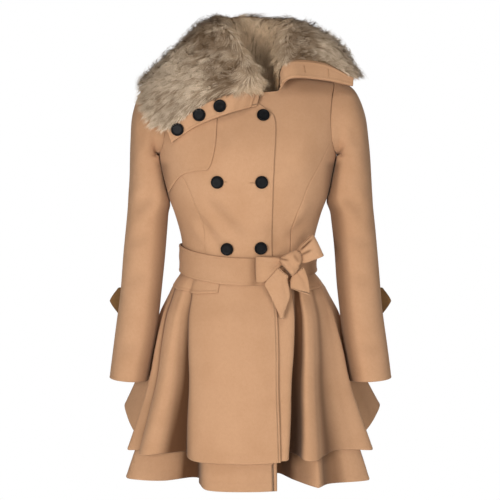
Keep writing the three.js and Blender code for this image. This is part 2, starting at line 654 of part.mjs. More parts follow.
function addCollar() {
  const end = COLLAR.length - 1;
  const rise = [0.07, 0.14, 0.22, 0.29, 0.36, 0.45, 0.6, 0.8, 1];
  const band = [0, 0.5, BAND_ROWS];
  const fur = [BAND_ROWS + 0.07, ...steps(22, 1.5, end - 1.5), end - BAND_ROWS - 0.07];
  const other = reverse(band).map((at) => end - at);
  add('collar_cloth', inward(collarGrid([...band, ...fur, ...other], [0, ...rise])), CAMEL);
  add('collar_fur', wall(collarGrid(fur, rise), 0.6, PILE), FUR, 1);
  add('collar_band_right', laid(collarGrid(band, rise), 0.7), CAMEL);
  add('collar_band_left', laid(collarGrid(other, rise), 0.7), CAMEL);
}

function addButtons() {
  FRONT_BUTTONS.forEach(({ x, height, lift }, i) => {
    const node = bodyNode(spot(x, height));
    add(`front_button_${i + 1}`, button(node.p, node.n, lift), HORN, 0.25);
  });
  BAND_BUTTONS.forEach(({ share, lift }, i) => {
    const at = BAND_ROWS * 0.5;
    const n = normalOf(collarAt, at, share, 0.02, 0.01);
    const p = collarAt(at, share).addScaledVector(n, LIFT + CLOTH);
    add(`collar_button_${i + 1}`, button(p, n, lift), HORN, 0.25);
  });
}

addBody();
addSkirt();
addBelt();
addCollar();
addButtons();

export default coat;
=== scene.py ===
"""A belted double-breasted swing coat of camel wool with a fur collar, held out hollow as if worn.

Tables and shapes are in millimetres; meshes are made in metres, in the frame's own axes.
The front faces -Y and the wearer's left is +X.
"""
import math

import bpy
import numpy as np
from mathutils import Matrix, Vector

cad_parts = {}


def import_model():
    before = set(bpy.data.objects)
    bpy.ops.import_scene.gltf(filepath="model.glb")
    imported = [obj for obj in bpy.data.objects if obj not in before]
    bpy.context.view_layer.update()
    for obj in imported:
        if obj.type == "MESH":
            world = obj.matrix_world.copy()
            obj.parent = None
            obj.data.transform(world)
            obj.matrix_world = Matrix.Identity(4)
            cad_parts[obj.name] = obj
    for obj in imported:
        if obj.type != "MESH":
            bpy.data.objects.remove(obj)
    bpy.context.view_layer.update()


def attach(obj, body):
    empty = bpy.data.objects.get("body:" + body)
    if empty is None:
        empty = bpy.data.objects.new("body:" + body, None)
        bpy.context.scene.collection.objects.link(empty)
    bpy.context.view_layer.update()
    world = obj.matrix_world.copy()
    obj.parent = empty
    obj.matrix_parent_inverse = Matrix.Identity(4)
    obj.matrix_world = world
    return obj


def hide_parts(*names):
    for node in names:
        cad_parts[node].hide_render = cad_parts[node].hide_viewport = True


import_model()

bl_info = {
    "name": "Belted swing coat",
    "version": (1, 0, 0),
    "blender": (4, 5, 0),
    "location": "3D View > Sidebar > Coat",
    "description": "Makes the cloth, fur, buttons and stage of a belted swing coat round its frame",
    "category": "Add Mesh",
}

MM = 0.001

# ---- sizes, in millimetres, as the frame has them ----
CLOTH = 2.2             # wall of the coat cloth
SEAM = 0.02             # half of the gap left at each seam
LIFT = 0.45             # clearance of a piece that lies on another
PILE = 14.0             # depth of the fur
NECK_HALF = 78.0        # neck point of the shoulder seam from the centre
SHOULDER_HALF = 178.0   # armhole end of the shoulder seam from the centre
SHOULDER_DROP = 22.0    # fall of the shoulder seam from neck to armhole
ARMPIT = -175.0         # height of the bottom of the armholes
WAIST = -395.0          # height of the waist seam
PRINCESS_X = 86.0       # princess seam from the centre, at the waist
SIDE_X = 136.0          # side seam from the centre, at the waist
FRONT_EDGE = 50.0       # edge of the right front from the centre, at the waist
UNDER_EDGE = 70.0       # edge of the left front from the centre, on the right
OUTER_DROP = 391.0      # waist seam to the hem of the upper skirt
UNDER_DROP = 447.0      # waist seam to the hem of the lower skirt
UNDER_GAP = 7.6         # lower skirt inside the upper one at the waist
OVERLAP_DEPTH = 4.4     # left front inside the right front
OVERLAP_END = (56, 60)  # where the left front starts to come out again, and over what width
OVERLAP_TURN = (23, 10) # the same for the left side of the skirt, in degrees at its waist
SLEEVE_SHIFT = 10.0     # right sleeve hangs this much closer to the body
BELT_WIDTH = 56.0
BELT_THICK = 2.6
BELT_HALF = 141.8       # belt from the centre to its side
TAB_WIDTH = 55.0
TAB_TOP = -457.0
TAB_START = 232.0       # sewn end of a sleeve tab from the centre
TAB_TIP = 304.0         # free tip of a sleeve tab from the centre
TAB_POINT = 19.0        # how far the corners of a tab lie behind its tip
TAB_THICK = 2.6
BAND_ROWS = 0.94        # width of the cloth band at each front end, in collar sections
SIDES = ((-1, "right"), (1, "left"))


# ---- tables: a row for each section, seam point or fold ----
def table(names, values):
    """Named columns from rows."""
    values = np.array(values, float)
    return {name: values[:, i] for i, name in enumerate(names.split())}


def seam(*places):
    """A line of places on the body, each by its distance from the centre and its height."""
    return np.array(places, float)


TORSO = table("height half front back", [
    [-395, 136, 100, 90], [-350, 139, 105, 90], [-300, 152, 121, 94], [-258, 167, 131, 99],
    [-215, 176, 136, 104], [-175, 184, 133, 106], [-140, 191, 123, 105], [-100, 197, 104, 99],
    [-65, 200, 83, 88], [-35, 200, 60, 70], [-14, 200, 36, 44], [-4, 200, 18, 21],
    [0, 200, 0, 0], [-4, 200, -18, -21]])
RIDGE = 12

PRINCESS = seam((PRINCESS_X, WAIST), (88, -350), (92, -313), (108, -275), (124, -235), (146, -195),
                (161, -165), (171, -140))
ARMHOLE = seam((171, -140), (169, -110), (170, -75), (174, -38), (178, -14), (178, 0))
UNDERARM = seam((171, -140), (174.5, -155), (179, -168), (184, ARMPIT))
BACK_ARMHOLE = seam((184, ARMPIT), (178, -160), (174, -135), (172, -105), (173, -70), (176, -35),
                    (178, -12), (178, 0))
RIGHT_NECK = seam((-78, 0), (-72, -12), (-52, -30), (-20, -50), (16, -66), (41, -84))
RIGHT_EDGE = seam((FRONT_EDGE, WAIST), (49, -330), (50, -260), (53, -190), (56, -130), (54, -98),
                  (41, -84))
LEFT_NECK = seam((-70, -108), (-35, -80), (0, -58), (22, -45), (46, -43), (64, -38), (74, -16),
                 (78, 0))
LEFT_EDGE = seam((-UNDER_EDGE, WAIST), (-70, -250), (-70, -108))
BACK_NECK = seam((0, -25), (30, -21), (60, -12), (78, 0))
SHOULDER = seam((SHOULDER_HALF, 0), (NECK_HALF, 0))
STORM_RIGHT = seam((-82, -206), (-76, -199), (-71, -186), (-65, -156), (-62, -103), (-64, -60),
                   (-82, -12))
STORM_LEFT = seam((-161, -252), (-173, -212), (-179.5, -180), (-173, -160), (-167.5, -130),
                  (-168, -75), (-174, -20))
STORM_TOP = seam((-174, -20), (-82, -12))
STORM_HEM = seam((-161, -252), (-149, -233), (-137, -219), (-124, -212), (-105, -207), (-82, -206))

# Base of the skirt by drop below the waist seam, before its folds.
SKIRT = table("drop half front back", [
    [0, 136, 100, 90], [25, 137, 101, 92], [45, 149, 106, 103], [60, 157, 112, 112],
    [110, 174, 130, 134], [180, 186, 148, 157], [245, 195, 163, 177], [320, 214, 181, 198],
    [391, 234, 198, 216], [448, 252, 210, 228]])

# Fold lines: place at the waist and at the hem in degrees from the centre front,
# how far the fold stands out at the hem, and how far its hem is lifted.
FOLD = "waist hem out lift"
RIGHT_FOLDS = table(FOLD, [
    [-90, -90, -4, 6], [-88, -84, 2, 3], [-84, -75, 26, 0], [-78, -68, 0, 2], [-71, -62, 20, 0],
    [-60, -55, 15, 2], [-55, -50.5, -28, 4], [-51, -43.5, -50, 6], [-47, -33, -12, 2],
    [-38, -24, 2, 0], [-16, -7, 4, 0], [4, 6, 2, 0], [21.5, 16, 4, 2]])
LEFT_FOLDS = table(FOLD, [
    [0, 2, 2, 4], [18, 12, 0, 4], [35, 20, -2, 4], [38, 22.5, -40, 5], [41, 29, -80, 6],
    [44, 32, -50, 4], [46, 28.8, -2, 2], [51, 34, 8, 0], [58, 42, -5, 4], [65, 52, -8, 10],
    [73, 62, 10, 8], [80, 71, 40, 4], [85, 80, 4, 8], [90, 90, -4, 6]])
BACK_FOLDS = table(FOLD, [
    [90, 90, -4, 6], [97, 99, 66, 50], [102, 106, 104, 74], [108, 113, 56, 60], [116, 121, -12, 28],
    [125, 130, 22, 10], [136, 140, -26, 2], [147, 150, 22, 0], [158, 160, -24, 0],
    [169, 170, 20, 0], [180, 180, -22, 0], [191, 190, 20, 0], [202, 200, -24, 0],
    [213, 210, 22, 0], [224, 220, -26, 2], [235, 230, 22, 10], [244, 240, -12, 28],
    [252, 248, 44, 58], [258, 254, 80, 74], [263, 261, 50, 50], [270, 270, -4, 6]])
UNDER_RIGHT_FOLDS = table(FOLD, [
    [-90, -90, -8, 0], [-84, -76, 16, 0], [-74, -65, -2, 0], [-57, -53, -34, 0],
    [-51, -43, -72, 4], [-44, -32, -36, 2], [-36, -23, -9, 0], [-8, -2, -7, 0],
    [21.5, 15.5, -9, 0]])
UNDER_LEFT_FOLDS = table(FOLD, [
    [8, 4, -8, 0], [27, 14, -12, 0], [35, 20, -52, 4], [41, 28, -100, 10], [47, 33, -66, 4],
    [53, 38, -8, 0], [66, 52, -18, 0], [78, 70, 20, 0], [84, 79, -4, 0], [90, 90, -8, 0]])
UNDER_BACK_FOLDS = table(FOLD, [
    [90, 90, -8, 0], [103, 105, 8, 0], [118, 122, -26, 0], [136, 140, -36, 0], [147, 150, 4, 0],
    [158, 160, -34, 0], [169, 170, 4, 0], [180, 180, -32, 0], [191, 190, 4, 0],
    [202, 200, -34, 0], [213, 210, 4, 0], [224, 220, -36, 0], [242, 238, -26, 0],
    [257, 255, 8, 0], [270, 270, -8, 0]])
# Painted shade in the creases between the folds: place among the fold lines, half width, and how
# dark it is painted.
RIGHT_CREASE_SHADE = ((7.5, 0.25, 0.7), (4.9, 0.3, 0.25), (3.0, 0.35, 0.6))
LEFT_CREASE_SHADE = ((4.75, 0.7, 0.95), (8.3, 0.4, 0.5), (10.6, 0.4, 0.3))
UNDER_RIGHT_CREASE_SHADE = ((4.6, 0.5, 0.75),)
UNDER_LEFT_CREASE_SHADE = ((2.4, 0.4, 0.5),)
# Depth of a fold, in millimetres, at which its painted shade is full: upper, lower and back.
UPPER_SHADE_DEPTH, LOWER_SHADE_DEPTH, BACK_SHADE_DEPTH = 30.0, 110.0, 40.0

# Left sleeve down its length: outer and inner edge, middle depth and half depth.
SLEEVE = table("outerX outerZ innerX innerZ y deep blend shift tuck", [
    [198, -27, 184.5, -180, -6, 66, 0.55, 0, 0], [226, -46, 184.5, -184, -5, 64, 0.2, 0, 0],
    [243, -92, 183, -190, -4, 61, 0, 0.3, 0], [251, -148, 180.3, -203, -4, 57, 0, 0.7, 0],
    [257, -215, 174.4, -230, -3, 52, 0, 1, 0], [260, -258, 168.6, -264, -3, 50, 0, 1, 0.05],
    [262, -290, 172, -292, -2, 48, 0, 1, 0.5], [269, -361, 180, -361, -2, 46, 0, 1, 0.75],
    [277, -455, 187, -455, -4, 45, 0, 1, 0.65], [286, -530, 195, -530, -7, 44, 0, 1, 0.5],
    [298, -618, 209, -620, -11, 44, 0, 1, 0.2], [301, -642, 213, -648, -12, 43, 0, 1, 0.1]])
SLEEVE_TURNS = np.array([0, 0.06, 0.125, 0.185, 0.25, 0.31, 0.365, 0.415, 0.46, 0.5, 0.585, 0.67,
                         0.77, 0.885])

# Collar sections from the right front end, round the neck, to the left front end:
# its base on the neckline, the top of its roll, its outer edge, and the swell of its fall.
COLLAR = np.array([
    [18, -96, -76, -40, -117, -92, -155, -98, -150, 6],
    [23, -82, -46, -18, -110, -46, -166, -98, -122, 10],
    [4, -78, -50, 8, -100, -14, -184, -90, -107, 12],
    [-26, -75, -44, -12, -76, 34, -200, -74, -82, 13],
    [-54, -50, -26, -42, -38, 80, -210, -38, -40, 9],
    [-73, -8, -1, -66, 0, 101, -207, 6, -16, 6],
    [-66, 28, -5, -60, 42, 110, -184, 58, -16, 10],
    [-38, 50, -17, -36, 68, 114, -128, 92, -28, 14],
    [0, 57, -23, 0, 77, 118, 0, 112, -42, 18],
    [38, 50, -17, 42, 68, 112, 130, 92, -26, 20],
    [66, 28, -5, 76, 40, 106, 192, 58, -8, 21],
    [73, -8, -1, 84, -2, 92, 217, 8, -2, 27],
    [71, -46, -20, 78, -42, 60, 220, -30, -10, 28],
    [67, -70, -34, 74, -80, 10, 216, -48, -16, 16],
    [63, -82, -41, 82, -98, -22, 214, -56, -34, 6]], float)
COLLAR_END = len(COLLAR) - 1

# Stations of a folded ribbon: middle point, half width, and the slant of its width in degrees.
RIGHT_LOOP = np.array([
    [93, -92.6, -387, 12, 106], [104, -93, -381, 15, 108], [120, -96, -370, 20, 112],
    [136, -102, -360, 24, 115], [142, -110, -357, 24.5, 116], [136, -117, -360, 24, 115],
    [120, -118, -370, 20, 112], [105, -113, -380.5, 15, 108], [95, -109.2, -386, 12, 106]])
LEFT_LOOP = np.array([
    [77, -100.4, -391, 7, 95], [62, -105.6, -391, 9, 96], [46, -110.1, -399, 18, 97],
    [30, -113.2, -405, 25, 94], [17, -118, -405.5, 25, 91], [30, -124.5, -405, 25, 94],
    [46, -123.5, -399, 18, 97], [62, -117, -391, 9, 96], [75, -110.2, -391, 7, 95]])
LONG_TAIL = np.array([
    [71.5, -125, -410, 12, -42], [64, -126.6, -421.5, 16, -18], [58, -128.2, -435.5, 23.5, -5],
    [61.5, -129, -447, 21.5, 0], [65, -130.5, -460, 18.5, 0], [66, -131.5, -475, 12.5, 0],
    [67, -133, -490, 6.5, 0], [68.5, -134, -503.5, 2.5, 0]])
SHORT_TAIL = np.array([
    [100.5, -118, -409.1, 14, 40], [102, -118.5, -420, 16.5, 20], [104, -119.5, -433, 18.2, 3],
    [105.6, -121, -451, 20, -20]])
KNOT = np.array([87.0, -121.0, -391.0])
# Outline of the knot round its middle: across and up.
KNOT_OUTLINE = np.array([[21, 2], [20, 17], [9, 25], [-8, 18], [-23, 7], [-15, -9], [0, -27],
                         [13, -17]], float)
KNOT_DEPTH = 10.8       # the knot from its middle to its front
# Creases of the tied cloth: from x, height to x, height, half width, rise.
BOW_CREASES = [
    (96, -365, 131, -332, 2.2, -1.6), (101, -371, 134, -340, 2, -1.3),
    (105, -378, 131, -364, 2.4, -0.9), (99, -398, 125, -395, 2.6, -1),
    (56, -385, 93, -425, 1.8, -1.7), (60, -382, 84, -386, 2, -0.7),
    (42, -412, 64, -394, 2.4, -1.3), (42, -400, 62, -392, 2.2, -1.1),
    (20, -383, 50, -391, 4, -0.6), (70, -420, 79, -470, 3.5, -0.8),
    (106, -410, 122, -452, 3.5, -0.7), (90, -372, 104, -392, 3, -0.5)]

# Buttons: on the fronts by place, on the band by share of its length; last, how far they stand
# off.
FRONT_BUTTONS = [(30.5, -96, 0.4), (-61, -229, -0.1), (27, -229, -0.6), (-42, -365, 1.2),
                 (25.5, -363, 1.2)]
BAND_BUTTONS = [(0.9, 1.6), (0.66, 1.4), (0.46, 0.9)]
# Buttonholes that show: on the fronts by place, on the left band by share of its length.
FRONT_HOLES = [(-53, -229), (15, -230)]
BAND_HOLES = [0.52, 0.74]
BAND_HOLE_SECTION = 13.53       # the collar section that they lie on

# Soft drag folds of the front and the sleeves: from x, height to x, height, half width, rise.
DRAGS = [
    (-118, -262, -20, -372, 13, 2.2), (-96, -248, 6, -352, 10, -1.6),
    (-128, -300, -62, -384, 10, 1.7), (-104, -286, -44, -380, 8, -1.3),
    (34, -300, 64, -380, 12, -1.2), (84, -330, 128, -262, 11, 1.6),
    (70, -352, 120, -300, 9, -1.4), (-30, -160, -70, -120, 22, -0.8),
    (88, -160, 130, -210, 20, 1.2), (40, -200, 96, -240, 22, 0.9)]
SLEEVE_DRAGS = [
    (196, -232, 250, -262, 12, 1.8), (186, -262, 246, -300, 12, -1.9),
    (188, -300, 258, -330, 13, 1.8), (192, -344, 262, -366, 12, -1.5),
    (196, -382, 258, -400, 14, 1.4), (214, -150, 236, -216, 14, 1.3),
    (204, -420, 262, -452, 16, -1.2), (216, -520, 270, -548, 18, 1.2),
    (222, -566, 280, -590, 16, -1.1), (206, -110, 228, -170, 12, -1.2)]
DRAG_GAIN = 1.8         # how much further each fold stands up than its table says
DRAG_SHADE = 0.05        # how much painted shade each millimetre of a hollow drag fold puts on the cloth


# ---- arithmetic ----
def smooth(values, at, ring=False):
    """Catmull-Rom value of rows at fractional places; a ring runs round without an end."""
    at = np.asarray(at, float)
    i = np.floor(at).astype(int)
    if not ring:
        i = np.clip(i, 0, len(values) - 2)
        before_first, past_last = 2 * values[0] - values[1], 2 * values[-1] - values[-2]
        values = np.concatenate([[before_first], values, [past_last]])
    f = (at - i).reshape(at.shape + (1,) * (values.ndim - 1))
    a, b, c, d = (values[(i + k - 1) % len(values)] if ring else values[i + k] for k in range(4))
    return b + 0.5 * f * (c - a + f * (2 * a - 5 * b + 4 * c - d + f * (3 * (b - c) + d - a)))


def mix(a, b, share):
    """The value a share of the way from a to b."""
    return a + (b - a) * share


def ease(value):
    """0 to 1 with soft ends."""
    value = np.clip(value, 0, 1)
    return value ** 2 * (3 - 2 * value)


def after(value, start, width):
    """0 up to a start, and 1 from a width past it."""
    return ease((value - start) / width)


def before(value, end, width):
    """1 up to a width short of an end, and 0 past it."""
    return ease((end - value) / width)


def bell(value, middle, width):
    """1 at a middle, falling away on both sides."""
    return np.exp(-((value - middle) / width) ** 2)


def unit(v):
    """Directions of length 1."""
    return v / np.maximum(np.linalg.norm(v, axis=-1, keepdims=True), 1e-9)


def normal_of(surface, u, v, du, dv):
    """Direction square to surface(u, v), from the surface itself."""
    along = surface(u + du, v) - surface(u - du, v)
    return unit(np.cross(along, surface(u, v + dv) - surface(u, v - dv)))


EDGE_ROWS = np.array([0.05, 0.13])      # shares of a span at which rows lie beside an edge


def fine(spans, cuts):
    """Places along a side of so many spans, close together near both ends."""
    middle = np.arange(1, spans * cuts) / cuts
    return np.concatenate([[0], EDGE_ROWS, middle, (spans - EDGE_ROWS)[::-1], [spans]])


def refine(grid, across, up, ring=False):
    """A finer grid through the points of a coarse one."""
    rows = smooth(grid, up)
    return smooth(rows.swapaxes(0, 1), across, ring).swapaxes(0, 1)


def ring_normals(points):
    """Directions square to a grid of rings, and out from their middles."""
    wrapped = np.concatenate([points[:, -1:], points, points[:, :1]], 1)
    n = unit(np.cross(wrapped[:, 2:] - wrapped[:, :-2], np.gradient(points, axis=0)))
    out = points - points.mean(1, keepdims=True)
    return n * np.where((n * out).sum(-1, keepdims=True) < 0, -1, 1)


# ---- soft unevenness ----
# Waves of the cloth's slight waviness: how fast each runs across, through and up, then its phase
# and its size.
WAVES = np.array([[31, 9, 17, 0.3, 0.34], [-12, 21, 26, 1.9, 0.30], [47, -15, -22, 4.1, 0.20],
                  [9, 40, -51, 2.6, 0.16], [-64, 22, 38, 5.2, 0.12]])


def uneven(points):
    """Slight waviness of cloth, in millimetres, by place."""
    total = 0
    for kx, ky, kz, phase, size in WAVES:
        total = total + size * np.sin((points @ np.array([kx, ky, kz])) * MM + phase)
    return total


def drags(points, normals, lines, side=1):
    """Rise of soft folds that run between two places on the front of the cloth."""
    x, z = points[..., 0] * side, points[..., 2]
    facing = np.clip(-1.4 * normals[..., 1], 0, 1)
    total = np.zeros(x.shape)
    for x0, z0, x1, z1, width, rise in lines:
        reach = math.hypot(x1 - x0, z1 - z0)
        along = ((x - x0) * (x1 - x0) + (z - z0) * (z1 - z0)) / reach ** 2
        away = ((x - x0) * (z1 - z0) - (z - z0) * (x1 - x0)) / reach
        ends = after(along, 0, 0.35) * before(along, 1, 0.35)
        total += DRAG_GAIN * rise * bell(away, 0, width) * ends
    return total * facing


# ---- meshes ----
def make(name, points, faces, material, seam=None, normals=None, shade=None):
    """A mesh object in metres from points in millimetres and an array of faces of one size."""
    mesh = bpy.data.meshes.new(name)
    sides = faces.shape[1]
    mesh.vertices.add(len(points))
    mesh.vertices.foreach_set("co", (points * MM).astype(np.float32).ravel())
    mesh.loops.add(faces.size)
    mesh.loops.foreach_set("vertex_index", faces.astype(np.int32).ravel())
    mesh.polygons.add(len(faces))
    mesh.polygons.foreach_set("loop_start", np.arange(0, faces.size, sides, dtype=np.int32))
    mesh.update(calc_edges=True)
    mesh.shade_smooth()
    for label, values in (("seam", seam), ("shade", shade)):
        if values is not None:
            layer = mesh.attributes.new(label, "FLOAT", "POINT")
            layer.data.foreach_set("value", values.astype(np.float32).ravel())
    if normals is not None:
        mesh.normals_split_custom_set_from_vertices(normals.astype(np.float32))
    mesh.materials.append(material)
    obj = bpy.data.objects.new(name, mesh)
    bpy.context.scene.collection.objects.link(obj)
    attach(obj, "root")
    return obj


def grid_faces(high, wide, ring=False):
    """Four-sided faces over a grid of rows of points; a ring joins the ends of its rows."""
    j, i = np.meshgrid(np.arange(high - 1), np.arange(wide if ring else wide - 1), indexing="ij")
    j, i = j.ravel() * wide, i.ravel()
    next_i = (i + 1) % wide
    return np.stack([j + i, j + next_i, j + wide + next_i, j + wide + i], 1)


def facing_out(points, faces):
    """The faces of a closed mesh, turned so that they face out."""
    p = points[faces] - points.mean(0)
    volume = (p[:, 0] * np.cross(p[:, 1] - p[:, -1], p[:, 2])).sum()
    return faces if volume > 0 else faces[:, ::-1]


def shell_mesh(outer, inner, ring=False):
    """Points and faces of a wall between two grids, with its rims closed."""
    high, wide = outer.shape[:2]
    count = high * wide

    def rim(a, b):
        return np.stack([a, a + count, b + count, b], 1)

    points = np.concatenate([outer.reshape(-1, 3), inner.reshape(-1, 3)])
    face = grid_faces(high, wide, ring)
    i, next_i = grid_faces(2, wide, ring)[:, :2].T
    top = (high - 1) * wide
    faces = [face, face[:, [0, 3, 2, 1]] + count, rim(i, next_i), rim(top + next_i, top + i)]
    if not ring:
        j = np.arange(high - 1) * wide
        faces += [rim(j + wide, j), rim(j + wide - 1, j + 2 * wide - 1)]
    return points, facing_out(points, np.concatenate(faces))


# Sink of the outer face by distance from an edge, in millimetres: at a sewn seam, at a stitched
# fold, and at an edge that is left as it is. Below it, how far the painted shade of a seam or
# stitched edge reaches in from the first two.
ROLLS = {
    "seam": ([0, 0.8, 2.0, 3.6], [0.55, 0.22, 0.06, 0]),
    "fold": ([0, 0.7, 1.8, 4, 6, 7.2, 8.6, 12], [1.0, 0.15, -0.3, -0.4, 0.0, 0.28, 0.0, 0]),
    "plain": ([0, 1], [0, 0]),
}
EDGE_SHADE = {"seam": 0.9, "fold": 0.7}
DEEPEST_SINK = 1.5      # where two rolled edges meet
FOLD_REACH = 7          # points to each side between which a hollow is looked for
FOLD_DEEP = 4.5         # depth of a hollow at which its painted shade is full


def away_from(points, edge):
    """Distance along the grid from one of its edges: left, right, bottom or top."""
    axis = 1 if edge in ("left", "right") else 0
    p = points if edge in ("left", "bottom") else np.flip(points, axis)
    step = np.linalg.norm(np.diff(p, axis=axis), axis=-1)
    pad = np.zeros_like(step[:, :1] if axis else step[:1])
    far = np.cumsum(np.concatenate([pad, step], axis), axis)
    return far if edge in ("left", "bottom") else np.flip(far, axis)


def fold_shade(points, normals, ring=False):
    """Painted shade by how deep in a fold each place lies: 0 on open cloth and 1 in a deep fold."""
    total = np.zeros(points.shape)
    wide = points.shape[1]
    for k in range(1, FOLD_REACH + 1):
        for shift in (-k, k):
            at = np.arange(wide) + shift
            at = at % wide if ring else np.clip(at, 0, wide - 1)
            total += points[:, at]
    rise = ((total / (2 * FOLD_REACH) - points) * normals).sum(-1)
    return np.clip(rise / FOLD_DEEP, 0, 1)


class Panel:
    """A piece of cloth: a grid of points, the directions square to it, and how its edges end."""

    def __init__(self, points, normals, ring=False, **edges):
        self.points, self.normals, self.ring = points, normals, ring
        self.sink = np.zeros(points.shape[:2])
        self.seam = np.zeros(points.shape[:2])
        for edge, roll in edges.items():
            far = away_from(points, edge)
            self.sink += np.interp(far, *ROLLS[roll])
            # painted shade along seams and stitched edges
            if roll in EDGE_SHADE:
                self.seam = np.maximum(self.seam, np.exp(-far / EDGE_SHADE[roll]))
        self.sink = np.minimum(self.sink, DEEPEST_SINK)
        # fold: painted shade, full in the deepest hollows of folds
        self.fold = fold_shade(points, normals, ring)

    def shaded(self, own, *darker):
        """Keeps a share of the painted shade of the panel's own folds, and adds painted shade from
        others.
        """
        self.fold = np.clip(own * self.fold + sum(darker), 0, 1)

    def lifted(self, rise):
        """The same panel moved out along its own directions."""
        self.points = self.points + self.normals * rise[..., None]
        return self

    def cloth(self, node, finish, slot, out, thick):
        """Makes the panel as a wall in place of a node, its outer face `out` from the grid."""
        self.face = self.points + self.normals * (out - self.sink)[..., None]
        inner = self.points + self.normals * (out - thick)
        points, faces = shell_mesh(self.face, inner, self.ring)
        seam, shade = (np.concatenate([values.ravel()] * 2) for values in (self.seam, self.fold))
        obj = make(node + "_cloth", points, faces, material(finish), seam=seam, shade=shade)
        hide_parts(node)
        return obj

    def inset(self, edge, by):
        """The line that runs at a distance from an edge: its points, directions and painted fold
        shade.
        """
        far = away_from(self.face, edge)
        values = np.concatenate([self.face, self.normals, self.fold[..., None]], -1)
        if edge in ("bottom", "top"):
            far, values = far.T, values.swapaxes(0, 1)
        if edge in ("right", "top"):
            far, values = far[:, ::-1], values[:, ::-1]
        line = np.array([[np.interp(by, f, q[:, k]) for k in range(q.shape[1])]
                         for f, q in zip(far, values)])
        return line[:, :3], unit(line[:, 3:6]), line[:, 6]


# ---- the body ----
def torso(turn, level):
    """The body's surface by turn from the centre front, in radians, and row of its table."""
    height = smooth(TORSO["height"], level)
    forward = np.cos(turn)
    depth = np.where(forward > 0, smooth(TORSO["front"], level), smooth(TORSO["back"], level))
    x = smooth(TORSO["half"], level) * np.sin(turn)
    rise = np.clip((height - ARMPIT) / -ARMPIT, 0, 1) ** 2
    slope = np.maximum(0, (np.abs(x) - NECK_HALF) / (SHOULDER_HALF - NECK_HALF))
    y = -np.sign(forward) * depth * np.abs(forward) ** 0.8
    return np.stack([x, y, height - SHOULDER_DROP * rise * slope], -1)


def level_at(height):
    """Row of the body's table at a height."""
    low, high = np.zeros(np.shape(height)), np.full(np.shape(height), float(RIDGE))
    for _ in range(40):
        middle = (low + high) / 2
        under = smooth(TORSO["height"], middle) < height
        low, high = np.where(under, middle, low), np.where(under, high, middle)
    return (low + high) / 2


def spot(x, height, back=0):
    """Turn and row of places on the body by x and height, on its front or on the back of a side."""
    x, height = np.asarray(x, float), np.asarray(height, float)
    level = np.where(height >= 0, RIDGE, level_at(np.minimum(height, 0)))
    turn = np.arcsin(np.clip(x / smooth(TORSO["half"], level), -1, 1))
    return np.stack([back * np.pi - turn if back else turn, level], -1)


def trace(seam, count, side=1, shift=0.0, back=0):
    """Equal steps along a seam, with x turned to a side and moved by a shift."""
    p = smooth(seam, np.linspace(0, len(seam) - 1, count + 1))
    return spot(side * p[:, 0] + shift, p[:, 1], back)


def join(first, second):
    """Two seams that share an end, as one."""
    return np.concatenate([first, second[1:]])


def patch(bottom, top, left, right):
    """A four-sided patch of places between its seams.

    The bottom and the top run the same way, as do the left and the right.
    """
    u = np.linspace(0, 1, len(bottom))[None, :, None]
    v = np.linspace(0, 1, len(left))[:, None, None]
    corners = mix(mix(bottom[0], bottom[-1], u), mix(top[0], top[-1], u), v)
    return mix(bottom[None], top[None], v) + mix(left[:, None], right[:, None], u) - corners


def body_points(places, behind=False, buried=False):
    """Points and directions of places on the body, the left front sunk under the right one."""
    turn, level = places[..., 0], places[..., 1]
    n = normal_of(torso, turn, level, 0.004, 0.02)
    facing = np.stack([np.sin(turn), -np.cos(turn), np.full(turn.shape, 0.2)], -1)
    n *= np.where((n * facing).sum(-1, keepdims=True) < 0, -1, 1)
    p = torso(turn, level)
    if buried:
        p = p - n * (OVERLAP_DEPTH * (1 - after(p[..., 0], *OVERLAP_END)))[..., None]
    p[..., 1] += SEAM if behind else -SEAM
    return p, n


def body_panel(places, behind=False, buried=False, **edges):
    """A fine panel over a coarse patch of places on the body."""
    high, wide = places.shape[0] - 1, places.shape[1] - 1
    p, n = body_points(refine(places, fine(wide, 5), fine(high, 5)), behind, buried)
    panel = Panel(p, n, **edges)
    rise = drags(p, n, DRAGS)
    beside = after(np.abs(p[..., 0]), 150, 22)
    # painted shade on the side of the body under the arm, where the sleeve shades it
    under_arm_shade = beside * before(p[..., 2], -184, 14) * after(p[..., 2], -300, 50)
    # painted shade in the hollows of the drag folds
    panel.shaded(0.3, DRAG_SHADE * np.maximum(-rise, 0), 0.5 * under_arm_shade)
    return panel.lifted(uneven(p) + rise)


def waist_line(start, end):
    """The waist seam between two distances from the centre."""
    return seam((start, WAIST), (end, WAIST))


def side_seam(side):
    """Places up a side seam, from the waist to the armpit."""
    levels = level_at(np.linspace(WAIST, ARMPIT, 10))
    return np.stack([np.full(10, side * np.pi / 2), levels], -1)


def front_right():
    """The right front, which laps over the left one."""
    return body_panel(patch(
        trace(waist_line(SEAM - PRINCESS_X, FRONT_EDGE), 10), trace(SHOULDER, 10, -1),
        join(trace(PRINCESS, 9, -1, SEAM), trace(ARMHOLE, 5, -1)),
        join(trace(RIGHT_EDGE, 8), trace(RIGHT_NECK[::-1], 6))),
        left="seam", right="fold", top="seam")


def front_left():
    """The left front, sunk where it lies under the right one."""
    return body_panel(patch(
        trace(waist_line(-UNDER_EDGE, PRINCESS_X - SEAM), 11), trace(SHOULDER[::-1], 11),
        join(trace(LEFT_EDGE, 7), trace(LEFT_NECK, 7)),
        join(trace(PRINCESS, 9, 1, -SEAM), trace(ARMHOLE, 5))),
        buried=True, left="fold", right="seam", top="seam")


def side_front(side):
    """The side panel between the princess seam and the side seam."""
    return body_panel(patch(
        trace(waist_line(PRINCESS_X + SEAM, SIDE_X), 4, side), trace(UNDERARM, 4, side),
        trace(PRINCESS, 9, side, side * SEAM), side_seam(side)),
        left="seam", right="seam", top="seam")


